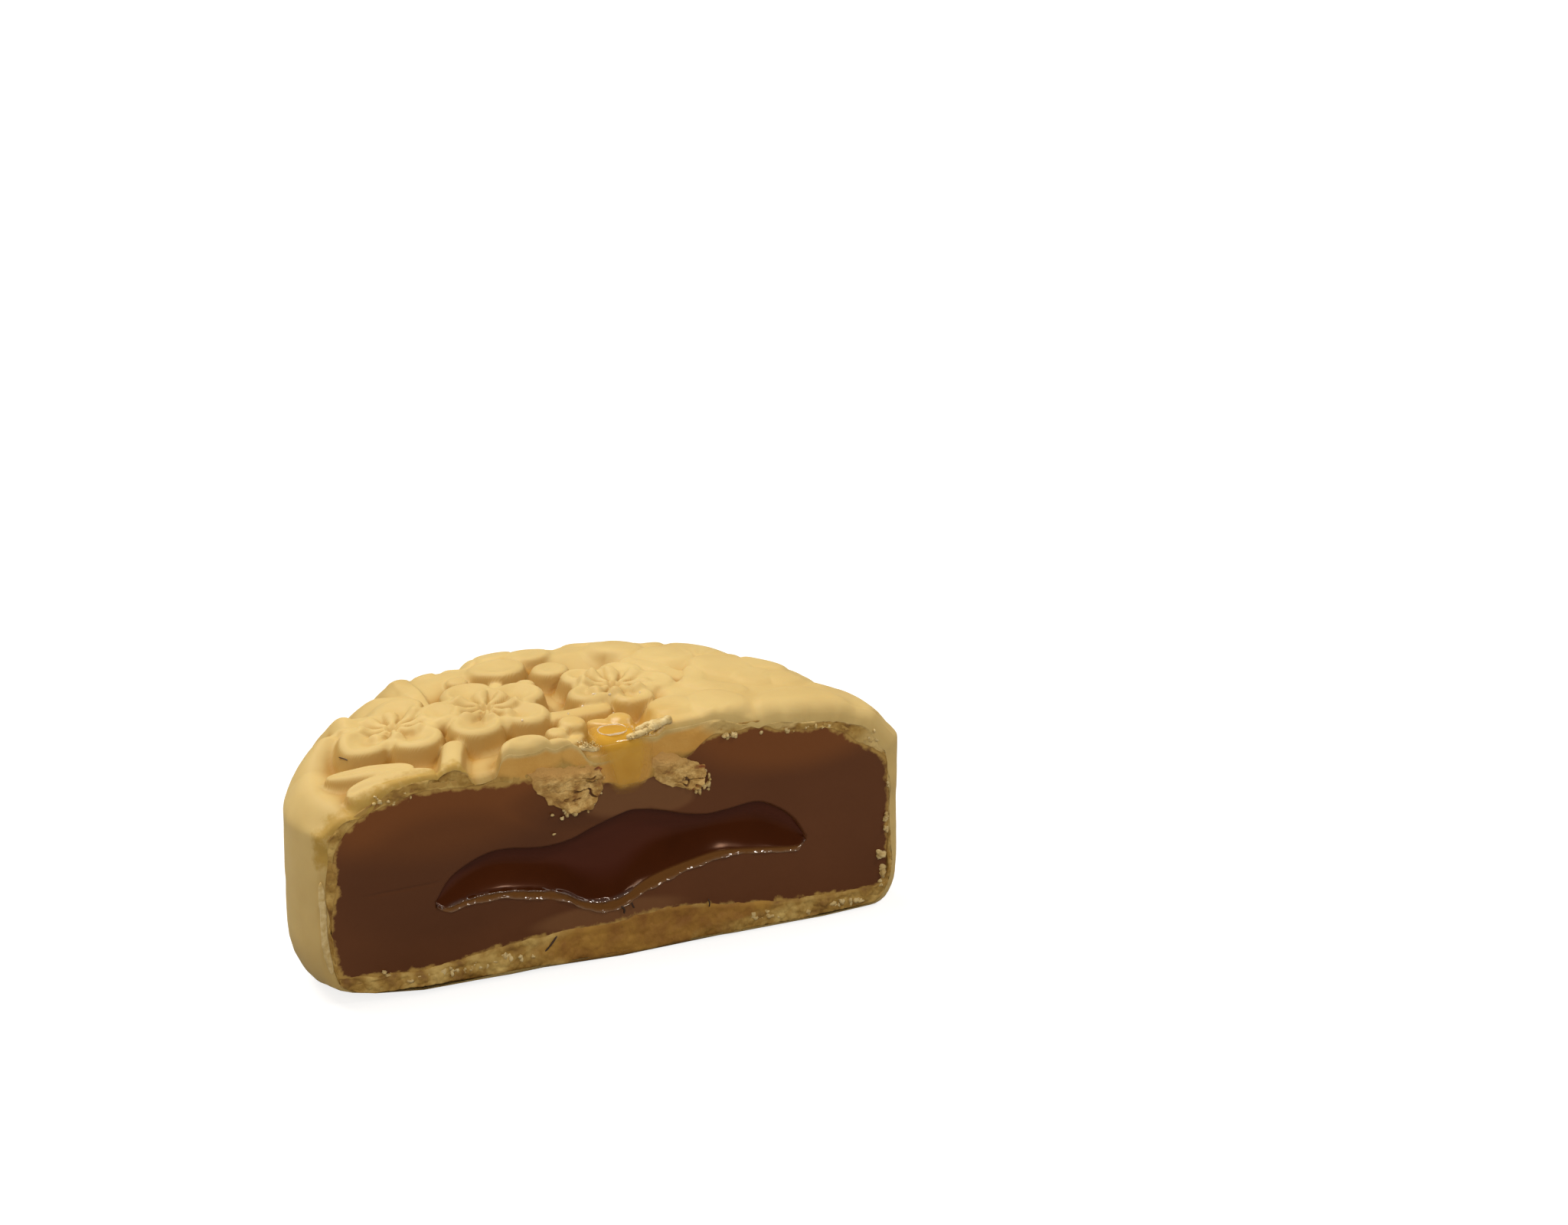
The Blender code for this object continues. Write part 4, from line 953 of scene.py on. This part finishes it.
def make_loose_grains(material):
    """The grains at every spot and along the torn edges, in one piece."""
    draw = np.random.default_rng(71)
    sets = [scatter(draw, *spot) for spot in GRAIN_SPOTS]
    sets += [scatter_along(draw, np.array(start), np.array(end), *rest) for start, end, *rest in TORN_EDGES]
    places, sizes = (np.concatenate(parts) for parts in zip(*sets))
    return make_grains("loose_grains", places, sizes, 72, material)


TORN_STRIPS = (
    (((-4.8, -0.9, 25.2), (-3.6, -1.1, 24.8), (-2.5, -1.1, 24.7)), 0.30, 81, 0.30, 0.8),
    (((0.4, -1.0, 25.4), (1.8, -1.1, 25.7), (3.4, -1.0, 26.0)), 0.36, 82, 0.30, 0.9),
    (((2.9, -0.9, 25.9), (4.2, -0.9, 26.4), (5.7, -0.7, 26.7)), 0.44, 84, 0.35, 0.9),
    (((1.6, -0.5, 25.9), (3.0, -0.5, 26.2), (4.6, -0.4, 26.5)), 0.30, 85, 0.35, 0.9),
    (((-32.9, -1.15, 15.0), (-32.8, -1.3, 11.7), (-32.7, -1.3, 8.0), (-32.0, -1.15, 4.2)), 0.36, 83, 0.12, 0.6),
)
THREADS = (
    (((-7.5, -1.3, 3.9), (-8.0, -1.35, 3.3), (-8.6, -1.35, 2.6), (-9.6, -1.25, 1.9)), 0.085, 91, 0.3, 1.0),
    (((9.9, -1.2, 4.9), (10.0, -1.3, 4.4), (10.0, -1.2, 3.9)), 0.07, 92, 0.3, 1.0),
    (((-0.2, -1.3, 6.0), (0.1, -1.35, 5.6), (0.1, -1.3, 5.1)), 0.10, 93, 0.4, 1.0),
    (((1.0, -1.25, 6.2), (1.1, -1.3, 5.8), (1.3, -1.2, 5.5)), 0.08, 94, 0.4, 1.0),
    (((-27.8, 8.4, 24.0), (-27.5, 7.7, 24.1), (-27.2, 7.1, 24.1)), 0.05, 98, 0.1, 1.0),
)


SYRUP_LINE = (
    (-0.4, 3.2, 24.9), (-0.4, 2.2, 25.4), (-0.5, 0.8, 25.6), (-0.4, -0.5, 25.4), (0.0, -1.2, 24.7), (0.3, -1.42, 23.6),
    (0.4, -1.46, 22.4), (0.5, -1.4, 21.2), (0.5, -1.28, 20.1), (0.6, -1.0, 19.2),
)
SYRUP_HALF_WIDTHS = (1.4, 2.6, 3.2, 3.4, 3.2, 2.95, 2.7, 2.4, 2.1, 1.4)
SYRUP_SECTIONS = 150
SYRUP_LIFT = 0.32
SYRUP_SINK = 0.6
POOL = (-0.5, 0.55, 25.85)
POOL_HALF = (1.55, 1.25)


def make_syrup_ring(material):
    """The raised rim of the small pool on the top: an oval tube that is thin and uneven and doesn't quite meet. Its
    pale colour is a painted highlight.
    """
    turn = np.linspace(0.0, 1.96 * math.pi, 17)
    path = np.array(POOL) + xyz(POOL_HALF[0] * np.cos(turn), POOL_HALF[1] * np.sin(turn), 0.05 * np.sin(3.0 * turn))
    return make_strands("syrup_rim", ((path, 0.09, 97, 0.45, 1.0),), material)


# Drops of syrup on the relief, whose pale colour paints glints: X, Y and radius
DROPS = (
    (0.6, 8.6, 0.20), (2.0, 7.6, 0.16), (2.6, 9.4, 0.22), (-1.2, 7.0, 0.16), (-0.2, 4.9, 0.24), (1.1, 4.2, 0.15),
    (-3.4, 5.6, 0.18), (-2.2, 1.2, 0.20), (3.4, 10.6, 0.15), (1.9, 1.2, 0.22), (5.2, 7.2, 0.15), (-8.9, 4.6, 0.12),
)


def make_drops(material):
    """Small drops that lie on the relief, pale so that they are painted glints."""
    x, y, radius = np.array(DROPS).T
    spot = np.stack([x, y], axis=-1)
    places = finished(xyz(x, y, embossed(spot, np.full(len(spot), FIELD_HEIGHT))))
    return make_grains("syrup_drop_glints", places, radius, 74, material)


def make_syrup(material):
    """Syrup that pools on the top and runs down the cut: sections along its line, each a flat arch."""
    line = spline(SYRUP_LINE, SYRUP_SECTIONS)
    rows = np.linspace(0.0, 1.0, SYRUP_SECTIONS)
    half = np.interp(rows, np.linspace(0.0, 1.0, len(SYRUP_HALF_WIDTHS)), SYRUP_HALF_WIDTHS)
    half = half + 0.22 * wander(line * np.array([0.0, 1.0, 1.0]), 1.3, 95)
    out = np.cross(np.array([1.0, 0.0, 0.0]), unit(np.gradient(line, axis=0)))
    out = unit(out * np.sign(out[:, 2:] - out[:, 1:2]))
    turn = 2.0 * math.pi * np.arange(96) / 96
    across, rise = np.cos(turn), np.sin(turn)
    lift = np.where(rise >= 0.0, SYRUP_LIFT * np.abs(rise) ** 0.8, -SYRUP_SINK * np.abs(rise) ** 0.5)
    sections = line[:, None] + xyz(half[:, None] * across, 0.0, 0.0)
    sections = sections + out[:, None] * (lift + 0.06 * wander(sections, 1.4, 96))[..., None]
    points, faces = closed_tube(sections)
    ends = smooth_step(rows, 0.0, 0.12) * fall(rows, 0.78, 0.97)
    body = ends[:, None] * smooth_step(1.0 - np.abs(across), 0.0, 0.6)
    return make_piece("syrup", points, faces, material, marks={"body": tube_mark(body, 0)})


# Materials. Mottle and speckles are node groups that several finishes share

MIX_SHARE, MIX_FIRST, MIX_SECOND, MIX_RESULT = 0, 6, 7, 2


def set_input(tree, socket, value):
    """Link an input to the socket that feeds it, or give it a value; three numbers can be a colour."""
    if isinstance(value, bpy.types.NodeSocket):
        tree.links.new(value, socket)
    elif socket.type == "RGBA":
        socket.default_value = (*value[:3], 1.0)
    else:
        socket.default_value = value


def add_node(tree, kind, inputs, output=0, **settings):
    """A shader node with its settings and inputs, and the socket that it puts out."""
    node = tree.nodes.new("ShaderNode" + kind)
    for name, value in settings.items():
        setattr(node, name, value)
    for name, value in inputs.items():
        set_input(tree, node.inputs[name], value)
    return node.outputs[output]


def add_noise(tree, scale, detail, roughness):
    """Noise on object coordinates, at a scale per metre."""
    place = add_node(tree, "TexCoord", {}, "Object")
    inputs = {"Vector": place, "Scale": scale, "Detail": detail, "Roughness": roughness}
    return add_node(tree, "TexNoise", inputs, "Fac")


def add_mix(tree, share, first, second):
    """A mix of two colours."""
    inputs = {MIX_SHARE: share, MIX_FIRST: first, MIX_SECOND: second}
    return add_node(tree, "Mix", inputs, MIX_RESULT, data_type="RGBA")


def new_group(name, inputs, outputs):
    """A node group with sockets of the given names and kinds, what its inputs give and what its outputs take."""
    tree = bpy.data.node_groups.new(name, "ShaderNodeTree")
    for side, sockets in (("INPUT", inputs), ("OUTPUT", outputs)):
        for label, kind in sockets.items():
            tree.interface.new_socket(label, in_out=side, socket_type="NodeSocket" + kind)
    return tree, tree.nodes.new("NodeGroupInput").outputs, tree.nodes.new("NodeGroupOutput").inputs


def mottle_group():
    """Noise, and a colour that runs from Low to High while the noise rises from one place to another."""
    floats = dict.fromkeys(("Scale", "Detail", "From", "To"), "Float")
    tree, given, taken = new_group(
        "mottle", {**floats, "Low": "Color", "High": "Color"}, {"Colour": "Color", "Noise": "Float"})
    noise = add_noise(tree, given["Scale"], given["Detail"], 0.55)
    share = add_node(tree, "MapRange", {"Value": noise, "From Min": given["From"], "From Max": given["To"]}, "Result")
    tree.links.new(add_mix(tree, share, given["Low"], given["High"]), taken["Colour"])
    tree.links.new(noise, taken["Noise"])
    return tree


def speckles_group():
    """Speckles that are dense where a value is 1 and gone where it is 0: the value plus noise, sharpened."""
    floats = dict.fromkeys(("Value", "Scale", "Amount"), "Float")
    tree, given, taken = new_group("speckles", floats, {"Mask": "Float"})
    centred = add_node(tree, "Math", {0: add_noise(tree, given["Scale"], 6.0, 0.6), 1: -0.5}, operation="ADD")
    total = add_node(
        tree, "Math", {0: centred, 1: given["Amount"], 2: given["Value"]}, operation="MULTIPLY_ADD")
    mask = add_node(tree, "MapRange", {"Value": total, "From Min": 0.55, "From Max": 0.95}, "Result")
    tree.links.new(mask, taken["Mask"])
    return tree


MOTTLE = mottle_group()
SPECKLES = speckles_group()


def add_mottle(tree, grain, stops):
    """Colours that run through stops of (place in the noise, colour). Grain: noise per metre, and its detail."""
    colour = stops[0][1]
    for (start, _), (end, high) in zip(stops, stops[1:]):
        inputs = {"Scale": grain[0], "Detail": grain[1], "From": start, "To": end, "Low": colour, "High": high}
        colour = add_node(tree, "Group", inputs, "Colour", node_tree=MOTTLE)
    return colour


def add_mark(tree, name, low=0.0, high=1.0):
    """A mark of the piece, stretched to run from low to high."""
    mark = add_node(tree, "Attribute", {}, "Fac", attribute_name=name)
    return add_node(tree, "MapRange", {"Value": mark, "To Min": low, "To Max": high}, "Result")


def make_finish(name, base, layers=(), bump=None, **inputs):
    """A material. Base: its mottle's grain and stops. A layer: a mark, its largest share or the scale and amount
    of its speckles, and its own colour or mottle. Bump: the noise's grain, strength and height in metres.
    An input of the shader is a value, or a mark with the values at 0 and 1."""
    material = bpy.data.materials.new(name)
    material.use_nodes = True
    tree = material.node_tree
    shader = tree.nodes["Principled BSDF"]
    colour = add_mottle(tree, *base)
    for mark, share, other in layers:
        if isinstance(share, tuple):
            speckled = {"Value": add_mark(tree, mark), "Scale": share[0], "Amount": share[1]}
            mask = add_node(tree, "Group", speckled, "Mask", node_tree=SPECKLES)
        else:
            mask = add_mark(tree, mark, 0.0, share)
        colour = add_mix(tree, mask, colour, add_mottle(tree, *other) if len(other) == 2 else other)
    tree.links.new(colour, shader.inputs["Base Color"])
    if bump:
        grain, strength, distance = bump
        height = add_node(tree, "Group", {"Scale": grain[0], "Detail": grain[1]}, "Noise", node_tree=MOTTLE)
        normal = add_node(tree, "Bump", {"Strength": strength, "Distance": distance, "Height": height})
        tree.links.new(normal, shader.inputs["Normal"])
    for label, value in inputs.items():
        if isinstance(value, tuple) and isinstance(value[0], str):
            value = add_mark(tree, *value)
        set_input(tree, shader.inputs[label.replace("_", " ")], value)
    return material


# Baked skin: pale straw yellow, painted amber shade in the hollows and on steep walls, wet round the syrup, crumbled at
# the cut
skin = make_finish(
    "baked_crust_skin", ((90.0, 4.0), ((0.35, (0.56, 0.39, 0.137)), (0.65, (0.63, 0.455, 0.172)))),
    (("hollow", 1.0, (0.38, 0.18, 0.014)), ("wet", 0.75, (0.62, 0.36, 0.07)),
     ("torn", (700.0, 1.6), (0.44, 0.27, 0.05))),
    ((1800.0, 4.0), 0.15, 0.0001), Roughness=("wet", 0.65, 0.25), Specular_IOR_Level=0.4,
    Subsurface_Weight=0.15, Subsurface_Radius=(1.0, 0.6, 0.25), Subsurface_Scale=0.001)

# Cut crust: dull yellow crumb with darker moist grains, and places that are amber, smeared smooth or like skin
crumb = make_finish(
    "crust_crumb",
    ((420.0, 6.0), ((0.32, (0.21, 0.095, 0.012)), (0.47, (0.38, 0.215, 0.038)), (0.66, (0.62, 0.43, 0.13)))),
    (("amber", 1.0, ((260.0, 5.0), ((0.35, (0.25, 0.10, 0.009)), (0.65, (0.44, 0.23, 0.03))))),
     ("smooth", 1.0, ((200.0, 4.0), ((0.35, (0.60, 0.30, 0.05)), (0.65, (0.68, 0.38, 0.085))))),
     ("skin", 1.0, ((500.0, 6.0), ((0.35, (0.54, 0.37, 0.12)), (0.60, (0.68, 0.49, 0.19)))))),
    ((2500.0, 6.0), 0.4, 0.0002), Roughness=0.7)

# Broken crust: pale dry lumps, with painted shade, dark and reddish, in the cracks
broken = make_finish(
    "broken_crumb",
    ((900.0, 5.0), ((0.32, (0.31, 0.145, 0.03)), (0.47, (0.49, 0.285, 0.075)), (0.64, (0.72, 0.48, 0.17)))),
    (("whole", 1.0, (0.56, 0.31, 0.085)),
     ("crack_shade", 1.0, ((350.0, 4.0), ((0.45, (0.12, 0.055, 0.02)), (0.60, (0.38, 0.10, 0.02)))))),
    ((3500.0, 6.0), 0.4, 0.0002), Roughness=0.75)

# Dry torn flakes of crust, nearly white
torn = make_finish(
    "torn_crust", ((1200.0, 5.0), ((0.3, (0.50, 0.33, 0.10)), (0.6, (0.72, 0.56, 0.27)))),
    (), ((3500.0, 6.0), 0.4, 0.0002), Roughness=0.7)

# Dried osmanthus threads: dark brown
thread = make_finish(
    "osmanthus_thread", ((900.0, 4.0), ((0.3, (0.02, 0.008, 0.004)), (0.7, (0.06, 0.022, 0.008)))), Roughness=0.5)

# The rim of the syrup's pool and the drops: syrup coloured nearly white as a painted highlight, half see-through, with
# a wet shine
painted_glint = make_finish(
    "syrup_painted_glint", ((400.0, 4.0), ((0.3, (0.86, 0.74, 0.52)), (0.7, (0.95, 0.86, 0.70)))),
    Roughness=0.15, Coat_Weight=1.0, Coat_IOR=1.9, Alpha=0.5)

# Amber syrup: wet and see-through, more so at its rim
amber_syrup = make_finish(
    "amber_syrup", ((200.0, 4.0), ((0.3, (0.68, 0.35, 0.03)), (0.7, (0.76, 0.43, 0.05)))),
    Roughness=0.05, Alpha=("body", 0.05, 0.7))

# Bean paste: smooth brown with a faint oily sheen, and crumbs pressed in beside the crust
bean = make_finish(
    "bean_paste_cut", ((60.0, 4.0), ((0.3, (0.105, 0.034, 0.0105)), (0.7, (0.128, 0.042, 0.0135)))),
    (("warm", 0.6, (0.23, 0.074, 0.016)), ("shaded", 0.42, (0.076, 0.024, 0.008)),
     ("milky", 0.5, (0.24, 0.11, 0.042)), ("near_crust", (650.0, 2.2), (0.46, 0.28, 0.075))),
    ((1500.0, 4.0), 0.1, 0.0001), Roughness=0.45, Specular_IOR_Level=0.3, Specular_Tint=(1.0, 0.8, 0.65))

# Osmanthus jam: dark, wet and glossy, with a bright line along its beads and a painted sheen, lighter purple-brown,
# over the upper part of its hollow
heart = make_finish(
    "osmanthus_jam_wet", ((120.0, 4.0), ((0.3, (0.045, 0.009, 0.002)), (0.7, (0.065, 0.014, 0.003)))),
    (("sheen", 1.0, (0.072, 0.018, 0.010)), ("film", 1.0, (0.16, 0.065, 0.014))),
    Roughness=0.18, Specular_IOR_Level=0.22, Specular_Tint=(1.0, 0.55, 0.35),
    Coat_Weight=("bead", 0.0, 1.0), Coat_Roughness=0.06, Coat_IOR=2.0)


# Stage

FLOOR_REACH = 6.0


def make_stage():
    """A plain pale floor: a dull surface that also glows white where the camera sees it."""
    mesh = bpy.data.meshes.new("floor")
    mesh.from_pydata([(x * FLOOR_REACH, y * FLOOR_REACH, 0.0) for x, y in ((-1, -1), (1, -1), (1, 1), (-1, 1))], [],
                     [(0, 1, 2, 3)])
    floor = bpy.data.objects.new("floor", mesh)
    bpy.context.scene.collection.objects.link(floor)
    material = bpy.data.materials.new("pale_floor")
    material.use_nodes = True
    tree = material.node_tree
    shader = tree.nodes["Principled BSDF"]
    shader.inputs["Base Color"].default_value = (0.35, 0.34, 0.33, 1.0)
    shader.inputs["Roughness"].default_value = 0.9
    dull = shader.outputs["BSDF"]
    white = add_node(tree, "Emission", {"Color": (1.0, 1.0, 1.0), "Strength": 0.80})
    seen = add_node(tree, "LightPath", {}, "Is Camera Ray")
    both = add_node(tree, "MixShader", {0: seen, 1: dull, 2: add_node(tree, "AddShader", {0: dull, 1: white})})
    tree.links.new(both, tree.nodes["Material Output"].inputs["Surface"])
    mesh.materials.append(material)


# Area lights: name, place and target in metres, size, power and colour
LIGHTS = (
    ("overhead", (-0.28, 0.28, 0.84), (0.0, 0.0, 0.0), 0.7, 7.9, (1.0, 0.98, 0.95)),
    ("front", (-0.35, -0.75, 0.6), (0.0, 0.0, 0.01), 0.4, 2.6, (1.0, 0.93, 0.82)),
    ("glint", (0.47, -0.6, 0.92), (0.0, 0.0, 0.01), 0.17, 2.2, (1.0, 0.98, 0.95)),
    ("right", (0.8, 0.05, 0.65), (0.0, 0.0, 0.01), 0.6, 2.3, (1.0, 0.95, 0.88)),
)


def make_lights():
    """Soft lights round the cake, and a warm even light from the room."""
    world = bpy.data.worlds.new("soft_room")
    world.use_nodes = True
    room = world.node_tree.nodes["Background"].inputs
    room["Color"].default_value = (1.0, 0.93, 0.82, 1.0)
    room["Strength"].default_value = 0.22
    bpy.context.scene.world = world
    for name, place, target, size, power, colour in LIGHTS:
        light = bpy.data.lights.new(name, "AREA")
        light.color, light.shape, light.size, light.energy = colour, "DISK", size, power
        item = bpy.data.objects.new(name, light)
        bpy.context.scene.collection.objects.link(item)
        item.location = place
        item.rotation_mode = "QUATERNION"
        item.rotation_quaternion = (Vector(target) - Vector(place)).to_track_quat("-Z", "Y")
    bpy.context.scene.view_settings.view_transform = "Standard"


def make_camera():
    """The photo's view: azimuth, elevation and roll about a target in the cake's millimetres."""
    turned = Matrix.Rotation(CAMERA_AZIMUTH, 3, "Z") @ Matrix.Rotation(math.pi / 2.0 - CAMERA_ELEVATION, 3, "X")
    turned = turned @ Matrix.Rotation(CAMERA_ROLL, 3, "Z")
    place = to_frame(np.array(CAMERA_TARGET) + np.array(turned.col[2]) * CAMERA_DISTANCE)
    camera = bpy.data.objects.new("camera", bpy.data.cameras.new("camera"))
    bpy.context.scene.collection.objects.link(camera)
    camera.data.lens = CAMERA_LENS
    camera.data.sensor_width = SENSOR_WIDTH
    camera.data.clip_start = 0.01
    camera.matrix_world = Matrix.Translation(place) @ turned.to_4x4()
    bpy.context.scene.camera = camera


make_crust_shell(skin)
make_crust_cut(crumb)
make_paste(bean)
make_jam(heart)
make_crumb_patch("crumbs_left", LEFT_PATCH, -28.0, 101, broken)
make_crumb_patch("crumbs_right", RIGHT_PATCH, -14.5, 121, broken)
make_strands("torn_strips", TORN_STRIPS, torn)
make_strands("osmanthus_threads", THREADS, thread)
make_loose_grains(torn)
make_syrup(amber_syrup)
make_syrup_ring(painted_glint)
make_drops(painted_glint)
make_stage()
make_lights()
make_camera()

bpy.context.view_layer.update()
